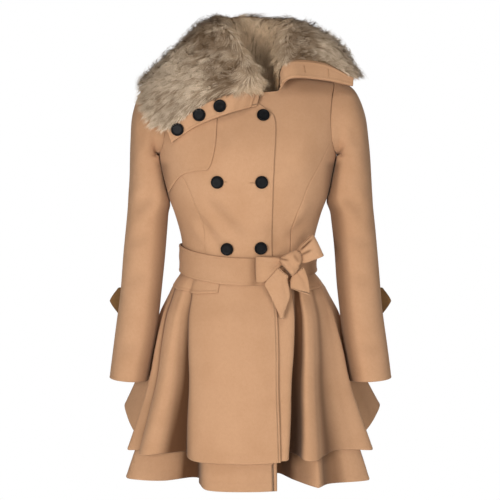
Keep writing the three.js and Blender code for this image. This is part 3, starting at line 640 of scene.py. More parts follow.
def back_panel(side):
    """One half of the back, up to the centre seam."""
    middle = side * (np.pi - SEAM / 100)
    centre = np.stack([np.full(15, middle), level_at(np.linspace(WAIST, BACK_NECK[0, 1], 15))], -1)
    bottom = np.stack([np.linspace(side * np.pi / 2, middle, 10), np.zeros(10)], -1)
    places = patch(
        bottom,
        join(trace(SHOULDER, 4, side, 0, side), trace(BACK_NECK[::-1], 5, side, 0, side)),
        join(side_seam(side), trace(BACK_ARMHOLE, 5, side, 0, side)), centre)
    places[:, -1, 0] = middle
    return body_panel(places, behind=True, left="seam", right="seam", top="seam")


def storm_panel():
    """The loose flap over the right chest."""
    return body_panel(patch(
        trace(STORM_HEM, 9), trace(STORM_TOP, 9),
        trace(STORM_LEFT, 10), trace(STORM_RIGHT, 10)),
        left="plain", right="fold", bottom="fold")


# ---- the sleeves ----
def armhole_ring(side):
    """The armhole from the shoulder seam down the front, under the arm and up the back."""
    front = join(trace(ARMHOLE, 5, side)[::-1], trace(UNDERARM, 4, side))
    back = trace(BACK_ARMHOLE, 5, side, 0, side)[1:-1]
    return np.concatenate([body_points(front)[0], body_points(back, True)[0]])


def sleeve_rings(side):
    """Rings of a sleeve from its armhole to its cuff."""
    start = armhole_ring(side)
    move = SLEEVE_SHIFT if side < 0 else 0
    angle = 2 * np.pi * SLEEVE_TURNS[:, None]
    rings = [start + np.array([side * LIFT, 0, 0])]
    for row in range(len(SLEEVE["y"])):
        c = {name: column[row] for name, column in SLEEVE.items()}
        outer = np.array([c["outerX"] - move * c["shift"], c["y"], c["outerZ"]])
        inner = np.array([c["innerX"] - move * c["tuck"], c["y"], c["innerZ"]])
        ring = (outer + inner) / 2 + (outer - inner) / 2 * np.cos(angle)
        ring[:, 1] -= c["deep"] * np.sin(angle[:, 0])
        ring[:, 0] *= side
        centre = np.array([side * (c["outerX"] + c["innerX"]) / 2, c["y"],
                           (c["outerZ"] + c["innerZ"]) / 2])
        rings.append(mix(ring, start - start.mean(0) + centre, c["blend"]))
    return np.array(rings)


ARM_GAP = 0.5                   # between sleeve and body under the arm
ARM_SHADE = {-1: 0.38, 1: 0.62}  # painted shade on the side of each sleeve that faces the body
CROWN_EASE = 0.44               # small ripples where the head of a sleeve is eased in


def sleeve_panel(side):
    """A sleeve, brought against the body under the arm, with its drag folds."""
    rings = sleeve_rings(side)
    p = refine(rings, np.arange(len(SLEEVE_TURNS) * 6) / 6, fine(len(rings) - 1, 7), True)
    z = p[..., 2]
    level = level_at(np.clip(z, WAIST, ARMPIT))
    inner = after((p.mean(1, keepdims=True)[..., 0] - p[..., 0]) * side, 0, 20)
    beside = before(z, ARMPIT - 0.5, 5) * after(z, -300, 40) * inner
    gap = np.abs(p[..., 0]) - smooth(TORSO["half"], level)
    p[..., 0] -= side * beside * np.clip(gap - ARM_GAP, -6, 8)
    n = ring_normals(p)
    panel = Panel(p, n, ring=True, bottom="seam", top="fold")
    drawn = drags(p, n, SLEEVE_DRAGS, side)
    # painted shade on the side of the sleeve that faces the body, below the armpit
    inner_side_shade = ARM_SHADE[side] * after(-n[..., 0] * side, 0.25, 0.6) * before(z, ARMPIT - 3, 20)
    # painted shade also in the hollows of the drag folds and over the top of the sleeve
    panel.shaded(0.3, DRAG_SHADE * np.maximum(-drawn, 0), inner_side_shade, 0.09 * after(z, -270, 90))
    ripple = np.sin(np.linspace(0, 26 * np.pi, p.shape[1]))[None] ** 2
    crown = CROWN_EASE * after(z, -120, 60) * before(z, -20, 30) * ripple
    return panel.lifted((uneven(p) + drawn + crown) * after(away_from(p, "bottom"), 0, 14))


def tab_panel(side):
    """A pointed strap that lies on the back of a sleeve, its free end past the outer edge."""
    move = SLEEVE_SHIFT if side < 0 else 0

    def surface(u, v):
        at = 7 + v * 0.72  # rows of the sleeve that the tab spans
        end = mix(TAB_TIP - TAB_POINT, TAB_TIP, 1 - np.abs(2 * v - 1) ** 1.25)
        x = mix(TAB_START, end, u) - move
        back = smooth(SLEEVE["y"], at) + smooth(SLEEVE["deep"], at)
        y = back - 3.1 + 2 * u - 9 * u ** 4
        return np.stack([side * x, y, mix(TAB_TOP, TAB_TOP - TAB_WIDTH, v)], -1)

    u, v = np.meshgrid(fine(6, 6) / 6, fine(4, 8) / 4)
    n = normal_of(surface, u, v, 0.01, 0.01)
    n *= np.where(n[..., 1:2] < 0, -1, 1)
    return Panel(surface(u, v), n, right="fold", bottom="fold", top="fold")


# ---- the skirt ----
def skirt_gain(drop):
    """How far the folds of the skirt have opened at a drop below the waist."""
    return (np.maximum(drop, 0) / OUTER_DROP) ** 1.2


def skirt_at(folds, at, drop):
    """The skirt's surface by place among its fold lines and drop below the waist."""
    gain = skirt_gain(drop)
    turn = np.radians(mix(smooth(folds["waist"], at), smooth(folds["hem"], at), gain))
    forward = np.cos(turn)
    out = smooth(folds["out"], at) * gain
    rows = SKIRT["drop"]
    row = np.interp(drop, rows, np.arange(len(rows))) + np.minimum(drop, 0) / rows[1]
    half = smooth(SKIRT["half"], row) + out
    depth = np.where(forward > 0, smooth(SKIRT["front"], row), smooth(SKIRT["back"], row)) + out
    power = mix(0.8, 1, np.clip(drop / 200, 0, 1))
    y = -np.sign(forward) * depth * np.abs(forward) ** power
    return np.stack([half * np.sin(turn), y, WAIST - drop], -1)


def skirt_points(folds, at, drop, inset, apart):
    """Points and directions of the skirt, sunk by an inset and moved apart at its side seams."""
    n = -normal_of(lambda u, d: skirt_at(folds, u, d), at, drop, 0.04, 0.5)
    p = skirt_at(folds, at, drop)
    n[..., 1] *= after(np.abs(p[..., 1]), 0, 14)
    n = unit(n)
    p = p - n * np.asarray(inset)[..., None]
    p[..., 1] += apart
    return p, n


# Rows of a skirt panel from waist to hem, close together near both.
HEM_ROWS = np.concatenate([[0, 0.006, 0.014], np.arange(1, 44) / 44, [0.992, 0.9965, 1]])


def skirt_panel(folds, length, cuts, inset, apart, dark, crease_shades=(), **edges):
    """A skirt panel between the first and the last of its folds."""
    at, step = np.meshgrid(fine(len(folds["waist"]) - 1, cuts), HEM_ROWS)
    drop = mix(2 * LIFT, length - smooth(folds["lift"], at), step)
    p, n = skirt_points(folds, at, drop, inset(at), apart)
    panel = Panel(p, n, top="fold", **edges).lifted(uneven(p) * after(step, 0, 0.1))
    # painted shade: darker in the hollows of the folds and along the creases between them
    depth = -smooth(folds["out"], at) * skirt_gain(drop)
    crease = sum(size * bell(at, place, width) for place, width, size in crease_shades)
    panel.shaded(0.5, (depth - 1) / dark, crease * after(drop, 0, 60))
    return panel


FLAP_TOP = 24.0         # sewn top of a pocket flap, below the waist seam
FLAP_CORNER = 5.0       # cut off its lower corners


def flap_panel(folds, start, thirds, near, far):
    """A pocket flap on the upper skirt, over so many thirds of a fold, to a depth at each end."""
    u, step = np.meshgrid(fine(thirds, 4) / thirds, fine(6, 5) / 6)
    corner = FLAP_CORNER * np.maximum(0, np.abs(2 * u - 1) - 0.8) / 0.2
    drop = mix(FLAP_TOP, mix(near, far, u) - corner, step)
    p, n = skirt_points(folds, start + u * thirds / 3, drop, -0.9 * np.sqrt(step), -SEAM)
    panel = Panel(p, n, left="fold", right="fold", top="fold")
    return panel.lifted(uneven(p) * after(step, 0, 0.1))


# ---- the belt and its bow ----
def pinch(points, size, reach):
    """Small pleats that run out from the knot, in millimetres."""
    away = points - KNOT
    turn = np.arctan2(away[..., 2], away[..., 0])
    near = bell(np.linalg.norm(away[..., [0, 2]], axis=-1), 0, reach)
    return size * near * (np.sin(9 * turn + 0.6) + 0.5 * np.sin(17 * turn + 2.0))


BELT_MIDDLE = -389.0    # height of the middle of the belt at the back
BELT_DIP = 22.0         # how much lower it lies in front
BELT_FRONT = (106.0, 109.6)     # depth of its upper and lower edge in front
BELT_BACK = 95.0


def belt_panel():
    """The strip round the waist, drawn into pleats at the knot."""
    turn, share = np.meshgrid(np.radians(np.arange(0, 360, 1.5)), fine(6, 4) / 6)
    forward = np.cos(turn)
    z = BELT_MIDDLE - BELT_DIP * np.maximum(forward, 0) ** 1.5 + BELT_WIDTH * (0.5 - share)
    depth = np.where(forward > 0, mix(*BELT_FRONT, share), BELT_BACK)
    y = -np.sign(forward) * depth * np.abs(forward) ** 0.8
    p = np.stack([BELT_HALF * np.sin(turn), y, z], -1)
    n = unit(np.stack([p[..., 0] / BELT_HALF ** 2, y / depth ** 2, np.zeros(turn.shape)], -1))
    ripple = 0.35 * np.sin(z * 0.21 + p[..., 0] * 0.045 + 1) * (forward > 0)
    panel = Panel(p, n, ring=True, bottom="fold", top="fold")
    # darker over the whole front, with painted shade beside the ends of the bow's loops, where they
    # stand off it
    panel.fold = (0.4 * (bell(p[..., 0], 12, 9) + bell(p[..., 0], 128, 12)) + 0.07) * (y < 0)
    return panel.lifted(uneven(p) * 0.6 + ripple + pinch(p, 0.9, 52) * (y < 0))


def ribbon_panel(stations, crown, end):
    """A strip of cloth through its stations, crowned across and pleated at the knot."""
    def surface(side, at):
        s = smooth(stations, at)
        slant = np.radians(s[..., 4])
        reach = side * s[..., 3]
        return np.stack([s[..., 0] + reach * np.cos(slant), s[..., 1] + side ** 2 * 2.5,
                         s[..., 2] + reach * np.sin(slant)], -1)

    side, at = np.meshgrid(fine(8, 3) / 4 - 1, fine(len(stations) - 1, 8))
    p = surface(side, at)
    n = normal_of(surface, side, at, 0.05, 0.05)
    panel = Panel(p, n, left="fold", right="fold", bottom="plain", top=end)
    front = np.where(n[..., 1] < 0, 1, -1)
    crease = drags(p, n * front[..., None], BOW_CREASES)
    # painted shade in the creases on the front of the bow
    panel.fold = np.clip(-0.45 * crease, 0, 1) * (front > 0)
    rise = pinch(p, 2.0, 34) + crease * 0.6 + crown * (1 - side ** 2) * 0.5
    return panel.lifted(front * rise)


def knot_mesh():
    """The knot: cloth wrapped over itself, with creases where its turns cross and painted shade in
    them.
    """
    rows, count = 40, 96
    v, u = np.meshgrid(np.linspace(0, np.pi, rows + 2)[1:-1],
                       np.arange(count) * len(KNOT_OUTLINE) / count, indexing="ij")
    across = np.sin(v)[..., None] ** 0.75 * smooth(KNOT_OUTLINE, u, True)
    depth = np.sign(np.cos(v)) * np.abs(np.cos(v)) ** 0.8 * KNOT_DEPTH
    p = np.stack([across[..., 0], -depth, across[..., 1]], -1).reshape(-1, 3)
    p = np.concatenate([[[0, -KNOT_DEPTH, 0]], p, [[0, KNOT_DEPTH, 0]]])
    p[:, 1] += 1.2 * np.cos((p[:, 0] + p[:, 2]) * 0.19) * (p[:, 1] < 0)
    front = unit(p * np.array([0.03, 1.0, 0.03]))
    p = p + KNOT
    rise = drags(p, front, BOW_CREASES)
    p[:, 1] -= rise
    quads = grid_faces(rows, count, True)[:, [0, 3, 2, 1]] + 1
    i, next_i = grid_faces(2, count, True)[:, :2].T + 1
    last = (rows - 1) * count
    caps = [np.stack([i * 0, i, next_i], 1),
            np.stack([i * 0 + len(p) - 1, last + next_i, last + i], 1)]
    triangles = np.concatenate([quads[:, [0, 1, 2]], quads[:, [0, 2, 3]], *caps])
    return p, facing_out(p, triangles), np.clip(-rise / 2, 0, 1)


# ---- the collar ----
def collar_at(at, share):
    """The collar cloth at a section and a share of the way from the neckline to its edge."""
    row = smooth(COLLAR, at)
    base, roll, edge = row[..., 0:3], row[..., 3:6], row[..., 6:9]
    fall = edge - roll
    flat = np.linalg.norm(fall[..., :2], axis=-1, keepdims=True)
    square = unit(np.concatenate([-fall[..., 2:] * fall[..., :2] / flat, flat], -1))
    bulge = (roll + edge) / 2 + square * row[..., 9:10]
    p = np.stack([2 * base - roll, base, roll, bulge, edge, 2 * edge - bulge])
    place = 3 * np.clip(share, 0, 0.99999)
    i = np.floor(place).astype(int)
    t = (place - i)[..., None]
    a, b, c, d = (np.take_along_axis(p, (i + k)[None, ..., None], 0)[0] for k in range(4))
    gap = [np.maximum(np.linalg.norm(q - r, axis=-1, keepdims=True), 1e-4) ** 0.5
           for q, r in ((a, b), (b, c), (c, d))]
    start = ((b - a) / gap[0] - (c - a) / (gap[0] + gap[1]) + (c - b) / gap[1]) * gap[1]
    end = ((c - b) / gap[1] - (d - b) / (gap[1] + gap[2]) + (d - c) / gap[2]) * gap[1]
    return (b + start * t + (3 * (c - b) - 2 * start - end) * t ** 2
            + (2 * (b - c) + start + end) * t ** 3)


def collar_grid(sections, shares):
    """Points and directions of the collar cloth on a grid of sections and shares."""
    at, share = np.meshgrid(sections, shares)
    n = normal_of(collar_at, at, np.clip(share, 0.01, 0.99), 0.02, 0.01)
    return collar_at(at, share), n


def collar_place(at, share):
    """One place on the collar cloth, and the direction square to it."""
    at, share = np.array(at), np.array(share)
    return collar_at(at, share), normal_of(collar_at, at, share, 0.02, 0.01)


NECK_SHARE = 0.07       # share of the way from neckline to edge where fur and bands begin


def band_panel(sections, front):
    """The bare cloth band at one front end of the collar, with a soft wave and ripples."""
    shares = NECK_SHARE + (1 - NECK_SHARE) * fine(16, 5) / 16
    p, n = collar_grid(sections, shares)
    away = shares[:, None] * np.ones(p.shape[:2])
    roll = 0.9 * np.sin(away * 46) * bell(away, 0.3, 0.16)
    rise = 0.7 * (roll + 0.5 * np.sin(away * 30 + 1.5) * front)
    return Panel(p, n, left="fold", right="fold", top="fold", bottom="fold").lifted(rise)


# ---- the fur ----
# The fur's grid runs over the collar from band to band, in sections, and from the neckline to the
# outer edge, in shares of the way.
FUR_START = BAND_ROWS + 0.07    # a little past the band
FUR_SECTIONS = np.linspace(FUR_START, COLLAR_END - FUR_START, 241)
FUR_SHARES = np.linspace(NECK_SHARE, 1, 81)
LAST_ROW = 79.9         # lowest row of the grid that a lock is gathered to
NAPE = 7                # the section at the back of the neck
PARTING = (0.3, 0.12)   # shares where the pile turns from falling into the neck to falling out
RIDGE_LINE = 0.34       # share of the painted highlight along the ridge of the roll
OUTER = (0.47, 0.16)    # shares where the outer fall of the fur begins
STRAIGHT_UP = 1.5       # stand of a strand that doesn't lie down


def fur_field():
    """A fine grid of the cloth under the fur, and the ways along and down it."""
    p, n = collar_grid(FUR_SECTIONS, FUR_SHARES)
    along = unit(np.gradient(p, axis=1))
    down = unit(np.gradient(p, axis=0))
    return p, n, along, down


def sample(grid, i, j):
    """Values of a grid at fractional columns and rows."""
    i0 = np.clip(np.floor(i).astype(int), 0, grid.shape[1] - 2)
    j0 = np.clip(np.floor(j).astype(int), 0, grid.shape[0] - 2)
    f, g = (i - i0)[:, None], (j - j0)[:, None]
    upper = mix(grid[j0, i0], grid[j0, i0 + 1], f)
    return mix(upper, mix(grid[j0 + 1, i0], grid[j0 + 1, i0 + 1], f), g)


# Scattered locks: where each lies in its cell, then its lean, length, stand and tone. A cell is so
# many columns and rows of the fur's grid.
LOCKS = np.random.default_rng(5).random((4096, 6))
LOCK_WIDE, LOCK_HIGH = 1.5, 4.5


def nearest_lock(i, j):
    """The scattered lock of fur that each place belongs to, and the middle of that lock."""
    best = np.full(len(i), 1e9)
    key, middle_i, middle_j = np.zeros(len(i), int), i.copy(), j.copy()
    cell_i, cell_j = np.floor(i / LOCK_WIDE), np.floor(j / LOCK_HIGH)
    for step_i in (-1, 0, 1):
        for step_j in (-1, 0, 1):
            here_i, here_j = cell_i + step_i, cell_j + step_j
            lock = (here_i * 977 + here_j * 131).astype(int) % len(LOCKS)
            mi = (here_i + LOCKS[lock, 0]) * LOCK_WIDE
            mj = (here_j + LOCKS[lock, 1]) * LOCK_HIGH
            far = ((mi - i) / LOCK_WIDE) ** 2 + ((mj - j) / LOCK_HIGH) ** 2
            near = far < best
            best, key = np.where(near, far, best), np.where(near, lock, key)
            middle_i, middle_j = np.where(near, mi, middle_i), np.where(near, mj, middle_j)
    return key, middle_i, middle_j


def strand_flow(rng, at, share, lock_lean, normal, side, fall):
    """The way each strand lies on the cloth, and how far it leans from straight down."""
    wave = 0.2 * np.sin(at * 4.3 + 1.4 * np.sin(share * 8)) + 0.22 * np.sin(at * 2.1 - share * 7)
    lean = (rng.random(len(at)) - 0.5) * 0.3 + (lock_lean - 0.5) * 0.42 + wave
    lean = lean - 0.55 * before(at, 2, 1) + 0.35 * after(at, 12, 1)
    flow = fall + side * lean[:, None]
    flow[:, 2] += 0.25 * after(at, 8.6, 1.6) * after(share, 0.45, 0.2)
    inward = 1 - after(share, *PARTING)
    sweep = 3.4 * inward * (1 - inward) * np.sign(at - NAPE)
    flow = flow - fall * (2 * inward)[:, None] + side * sweep[:, None]
    return unit(flow - normal * (flow * normal).sum(-1, keepdims=True)), lean


def strand_length(rng, at, share, lock_length, up, hanging, proud):
    """Length of each strand as a share of a usual one."""
    length = 0.72 + 0.42 * rng.random(len(at)) + 0.35 * (lock_length - 0.5)
    length *= mix(1, 2.5, hanging) * mix(1, 0.55, np.clip(up, 0, 1) ** 2) * mix(1, 1.2, proud)
    length *= (1 - 0.2 * after(share, 0.93, 0.07)) * mix(0.55, 1, after(at, BAND_ROWS, 0.9))
    return length * mix(0.6, 1, before(at, COLLAR_END - BAND_ROWS, 1.2))


def strand_tone(rng, at, share, lock_tone):
    """How much lighter or darker each strand is than a usual one, with a painted highlight along
    the ridge of the roll and painted shadow on the fall just past it.
    """
    outer = after(share, *OUTER)
    tone = mix(1.15, 0.65, outer) * (lock_tone - 0.5) + 0.5 * (rng.random(len(at)) - 0.5)
    shadow = mix(0.4, 0.15, after(at, 6, 3)) * after(share, RIDGE_LINE, 0.08) * (1 - outer)
    # painted highlight along the ridge of the roll
    return tone + 0.34 * outer + 0.35 * bell(share, RIDGE_LINE, 0.04) - shadow


# The three spans of a strand from root to tip: the share of its length that each takes and how
# far it stands up there; then the half width and the shade at the foot of each.
SPANS = ((0.3, 0.72), (0.34, 0.34), (0.36, 0.08))
SPAN_FEET = ((1, 0.0), (0.85, 0.4), (0.55, 0.72))
STRAND_FACES = np.array([[0, 1, 3], [0, 3, 2], [2, 3, 5], [2, 5, 4], [4, 5, 6]])


def strands(field, count, seed, first, last, size, pile):
    """Tapered ribbons of fur on the columns from first to last of the field."""
    rng = np.random.default_rng(seed)
    p, n, along, down = field
    a, b, c = p[:-1, :-1], p[:-1, 1:], p[1:, :-1]
    area = np.linalg.norm(np.cross(b - a, c - a), axis=-1)
    area[:, :first] = 0
    area[:, last:] = 0
    cell = rng.choice(area.size, count, p=area.ravel() / area.sum())
    j = cell // area.shape[1] + rng.random(count)
    i = cell % area.shape[1] + rng.random(count)
    share = np.interp(j, np.arange(len(FUR_SHARES)), FUR_SHARES)
    at = np.interp(i, np.arange(len(FUR_SECTIONS)), FUR_SECTIONS)

    key, middle_i, middle_j = nearest_lock(i, j)
    lock = LOCKS[key]
    middle_i, middle_j = np.clip(middle_i, first, last), np.clip(middle_j, 0, LAST_ROW)
    root, normal = sample(p, i, j), unit(sample(n, i, j))
    side, fall = unit(sample(along, i, j)), unit(sample(down, i, j))
    draw = sample(p, middle_i, middle_j) - root

    hanging = (1 - after(share, 0.1, 0.1)) * after(at, 4, 1.5) * before(at, 12.5, 1.5)
    proud = after(lock[:, 4], 0.8, 0.05) * (1 - hanging) * after(at, BAND_ROWS + 0.4, 0.8)
    flow, lean = strand_flow(rng, at, share, lock[:, 2], normal, side, fall)
    length = size * strand_length(rng, at, share, lock[:, 3], normal[:, 2], hanging, proud)
    stand = 0.75 + 0.35 * rng.random(count) + 0.3 * (lock[:, 4] - 0.5)
    stand = np.where(rng.random(count) < 0.06, STRAIGHT_UP, stand) * (1 - 0.6 * hanging)
    stand = mix(stand, STRAIGHT_UP, proud)

    steps = []
    place = root + normal * 0.8
    for k, (span, up) in enumerate(SPANS):
        way = unit(normal * (up * stand)[:, None] + flow)
        gather = (0.03 + 0.03 * proud)[:, None] * (k + 1)
        way = unit(way + draw * gather + np.array([0, 0, -0.05 * k]))
        steps.append((place, way))
        place = place + way * (length * span)[:, None]
    rise = ((place - root) * normal).sum(-1)
    limit = np.minimum(1, (pile * mix(1, 1.4, proud) - 0.3) / np.maximum(rise, 1e-6))

    half = 0.26 + 0.2 * rng.random(count)
    twist = (rng.random(count) - 0.5) * 0.7
    across = unit(np.cross(steps[1][1], normal) + normal * twist[:, None])
    tone = strand_tone(rng, at, share, lock[:, 5])
    points, shade = [], []
    for (q, _), (width, dark) in zip(steps, SPAN_FEET):
        q = root + (q - root) * limit[:, None]
        for sign in (-1, 1):
            points.append(q + across * (sign * half * width)[:, None])
            shade.append(dark + tone * dark)
    points.append(root + (place - root) * limit[:, None])
    shade.append(1 + tone)
    each = len(points)
    faces = (np.arange(count)[:, None, None] * each + STRAND_FACES[None]).reshape(-1, 3)
    tilt = unit(normal + 0.5 * (flow * 0.3 + side * (lean * 0.6)[:, None]))
    # inside the neck: the fur material lightens these strands, partly painted light against the
    # shade there
    inside = 1 - after(share, 0.22, 0.2)
    bright = unit(tilt + inside[:, None] * np.array([0, -1.3, 0.2]))
    return (np.stack(points, 1).reshape(-1, 3), faces, np.repeat(bright, each, 0),
            np.stack(shade, 1).ravel(), np.repeat(inside, each))


# ---- buttons ----
BUTTON_PROFILE = np.array([
    [0, 0], [7, 0], [11.4, 0], [12.3, 0.35], [12.85, 1.4], [13, 3.0], [12.8, 4.4], [12.2, 5.3],
    [11.4, 5.6], [10.5, 5.35], [9.8, 4.85], [8.6, 4.55], [6, 4.5], [3, 4.55], [0, 4.6]])
PROFILE_RADIUS = 13.0
PROFILE_STRETCH = 6 / 5.4       # brings the profile to the button's height


def button_mesh(centre, normal, radius):
    """A turned button with a raised rim round a shallow dish."""
    profile = smooth(BUTTON_PROFILE, np.arange(0, len(BUTTON_PROFILE) - 0.99, 0.5))
    profile = np.maximum(profile, 0) * np.array([radius / PROFILE_RADIUS, PROFILE_STRETCH])
    count = 56
    turn = np.arange(count) * 2 * np.pi / count
    axis = unit(np.asarray(normal, float))
    right = unit(np.cross(axis, [0, 0, 1.0]))
    up = np.cross(right, axis)
    ring = right * np.cos(turn)[:, None] + up * np.sin(turn)[:, None]
    p = centre + profile[:, None, :1] * ring[None] + profile[:, None, 1:] * axis
    points = p.reshape(-1, 3)
    return points, facing_out(points, grid_faces(len(profile), count, True)[:, [0, 3, 2, 1]])


# ---- stitches ----
# One stitch: its points along, across and above the seam, and its faces.
STITCH = np.array([
    [-1, -0.45, -0.6], [-1, 0.45, -0.6], [1, 0.45, -0.6], [1, -0.45, -0.6], [-0.6, 0, 1],
    [0.6, 0, 1], [-0.5, -1, 0], [-0.5, 1, 0], [0.5, 1, 0], [0.5, -1, 0]])
STITCH_FACES = np.array([
    [0, 6, 4], [4, 7, 1], [0, 4, 1], [6, 9, 5], [6, 5, 4], [7, 4, 5], [7, 5, 8], [3, 5, 9],
    [5, 2, 8], [3, 2, 5], [0, 3, 9], [0, 9, 6], [1, 7, 8], [1, 8, 2], [0, 1, 2], [0, 2, 3]])


def stitches(lines, pitch, length=3.0, half=0.34, rise=0.3):
    """Short raised stitches along lines of points, each with the directions square to the cloth."""
    points, faces, dark, total = [], [], [], 0
    each = len(STITCH)
    for line, ways, fold in lines:
        far = np.concatenate([[0], np.cumsum(np.linalg.norm(np.diff(line, axis=0), axis=1))])

        def read(place, values):
            return np.stack([np.interp(place, far, values[:, k]) for k in range(3)], 1)

        count = int(far[-1] / pitch)
        if count < 1:
            continue
        place = (np.arange(count) + 0.5) * far[-1] / count
        n = unit(read(place, ways))
        t = unit(read(place + 0.5, line) - read(place - 0.5, line))
        s = np.cross(n, t)
        q = (read(place, line)[:, None] + t[:, None] * (STITCH[:, 0] * length / 2)[None, :, None]
             + s[:, None] * (STITCH[:, 1] * half)[None, :, None]
             + n[:, None] * (STITCH[:, 2] * rise)[None, :, None])
        points.append(q.reshape(-1, 3))
        start = np.arange(total, total + count * each, each)
        faces.append((start[:, None, None] + STITCH_FACES[None]).reshape(-1, 3))
        # each stitch takes the painted shade of the cloth under it
        dark.append(np.repeat(np.interp(place, far, fold), each))
        total += count * each
    return np.concatenate(points), np.concatenate(faces), np.concatenate(dark)


def sew(name, lines, **sizes):
    """One object of the stitches along some lines."""
    points, faces, dark = stitches(lines, **sizes)
    make(name, points, faces, material("thread"), shade=dark)


def slit(centre, normal, along, length):
    """The worked edge of a buttonhole: a long narrow loop on the cloth, and its directions."""
    count = 40
    turn = np.linspace(0, 2 * np.pi, count)
    n = unit(np.asarray(normal, float))
    t = unit(np.asarray(along, float) - n * np.dot(along, n))
    s = np.cross(n, t)
    reach = np.sign(np.cos(turn)) * np.abs(np.cos(turn)) ** 0.5 * length / 2
    line = centre + t * reach[:, None] + s * (0.9 * np.sin(turn))[:, None] + n * 0.1
    return line, np.repeat(n[None], count, 0), np.zeros(count)


# ---- materials ----
def srgb(colour):
    """The colour of a property, as the shader takes it."""
    return (*colour, 1.0)


def set_inputs(node, values):
    """Sets plain values on a node's sockets."""
    for name, value in values.items():
        node.inputs[name].default_value = value


class Nodes:
    """A small helper that adds and joins shader nodes in a tree."""

    def __init__(self, tree):
        self.tree = tree

    def feed(self, socket, value):
        """Gives a socket a plain value, or joins another socket to it."""
        if isinstance(value, bpy.types.NodeSocket):
            self.tree.links.new(value, socket)
        else:
            socket.default_value = value

    def add(self, kind, inputs=None, **settings):
        node = self.tree.nodes.new("ShaderNode" + kind)
        for name, value in settings.items():
            setattr(node, name, value)
        for name, value in (inputs or {}).items():
            self.feed(node.inputs[name], value)
        return node

    def noise(self, place, scale, detail=3.0, rough=0.55):
        return self.add("TexNoise", {"Vector": place, "Scale": scale, "Detail": detail,
                                     "Roughness": rough}).outputs["Fac"]

    def attribute(self, name):
        return self.add("Attribute", attribute_name=name).outputs["Fac"]

    def place(self):
        return self.add("TexCoord").outputs["Object"]

    def ramp(self, value, low, high):
        return self.add("MapRange", {"Value": value, "From Min": low, "From Max": high},
                        interpolation_type="SMOOTHSTEP").outputs["Result"]

    def spread(self, value, low, high):
        return self.add("MapRange", {"Value": value, "To Min": low, "To Max": high}).outputs[0]

    def math(self, operation, a, b):
        return self.add("Math", {0: a, 1: b}, operation=operation).outputs[0]

    def times(self, a, b):
        return self.math("MULTIPLY", a, b)

    def mix(self, share, a, b):
        node = self.add("Mix", data_type="RGBA")
        for socket, value in ((node.inputs[0], share), (node.inputs[6], a), (node.inputs[7], b)):
            self.feed(socket, value)
        return node.outputs[2]


SURFACE = [("Colour", "Color"), ("Roughness", "Float"), ("Height", "Float")]


def group(name, inputs):
    """An empty shader node group with named sockets, its nodes, its output and what it is given."""
    made = bpy.data.node_groups.new(name, "ShaderNodeTree")
    for label, kind, value in inputs:
        socket = made.interface.new_socket(label, in_out="INPUT", socket_type="NodeSocket" + kind)
        socket.default_value = value
    for label, kind in SURFACE:
        made.interface.new_socket(label, in_out="OUTPUT", socket_type="NodeSocket" + kind)
    out = made.nodes.new("NodeGroupOutput")
    given = made.nodes.new("NodeGroupInput")
    return Nodes(made), out.inputs, given.outputs


def wool_nap(name):
    """Brushed wool: short lying fibres and soft mottling, with painted shade along seams and in
    folds.
    """
    k, out, given = group(name, [
        ("Colour", "Color", (0.5, 0.3, 0.17, 1)), ("Deep", "Color", (0.3, 0.17, 0.09, 1)),
        ("Painted shade", "Color", (0.075, 0.028, 0.010, 1)), ("Fibre", "Float", 700.0)])
    place = k.place()
    combed = k.add("Mapping", {"Vector": place, "Scale": (1.0, 1.0, 0.32)}).outputs[0]
    fibre = k.noise(combed, given["Fibre"], 4.0, 0.65)
    tuft = k.noise(place, 150.0, 3.0)
    cloud = k.noise(place, 11.0, 2.0)
    seam = k.attribute("seam")
    base = k.mix(k.times(k.ramp(cloud, 0.35, 0.7), 0.24), given["Colour"], given["Deep"])
    base = k.mix(k.times(k.ramp(tuft, 0.35, 0.7), 0.10), base, given["Deep"])
    base = k.mix(k.times(k.ramp(fibre, 0.4, 0.75), 0.16), base, given["Deep"])
    # painted shade: darker along seams and stitched edges, where their grooves lie in shadow
    base = k.mix(k.times(seam, 0.2), base, given["Deep"])
    # painted shade: the shade layer darkens the cloth towards its darkest colour in folds, creases
    # and between parts
    k.feed(out["Colour"], k.mix(k.times(k.attribute("shade"), 0.96), base, given["Painted shade"]))
    k.feed(out["Roughness"], k.spread(tuft, 0.86, 0.98))
    k.feed(out["Height"], k.math("ADD", k.times(fibre, 0.6), k.times(tuft, 0.4)))


def handling_wear(name):
    """Fine scratches and rubbed places on a hard or glazed surface."""
    k, out, given = group(name, [
        ("Colour", "Color", (0.01, 0.01, 0.01, 1)), ("Rubbed", "Color", (0.05, 0.05, 0.05, 1)),
        ("Gloss", "Float", 0.2)])
    place = k.place()
    cloud = k.noise(place, 90.0, 4.0)
    scratches = k.noise(place, 900.0, 3.0)
    rubbed = k.ramp(cloud, 0.5, 0.72)
    k.feed(out["Colour"], k.mix(rubbed, given["Colour"], given["Rubbed"]))
    rough = k.math("ADD", given["Gloss"], k.times(rubbed, 0.12))
    k.feed(out["Roughness"], k.math("ADD", rough, k.times(scratches, 0.06)))
    k.feed(out["Height"], scratches)


GROUPS = {"wool_nap": wool_nap, "handling_wear": handling_wear}


def new_material(name):
    """A material, its nodes and its shader."""
    made = bpy.data.materials.new(name)
    made.use_nodes = True
    return made, Nodes(made.node_tree), made.node_tree.nodes["Principled BSDF"]


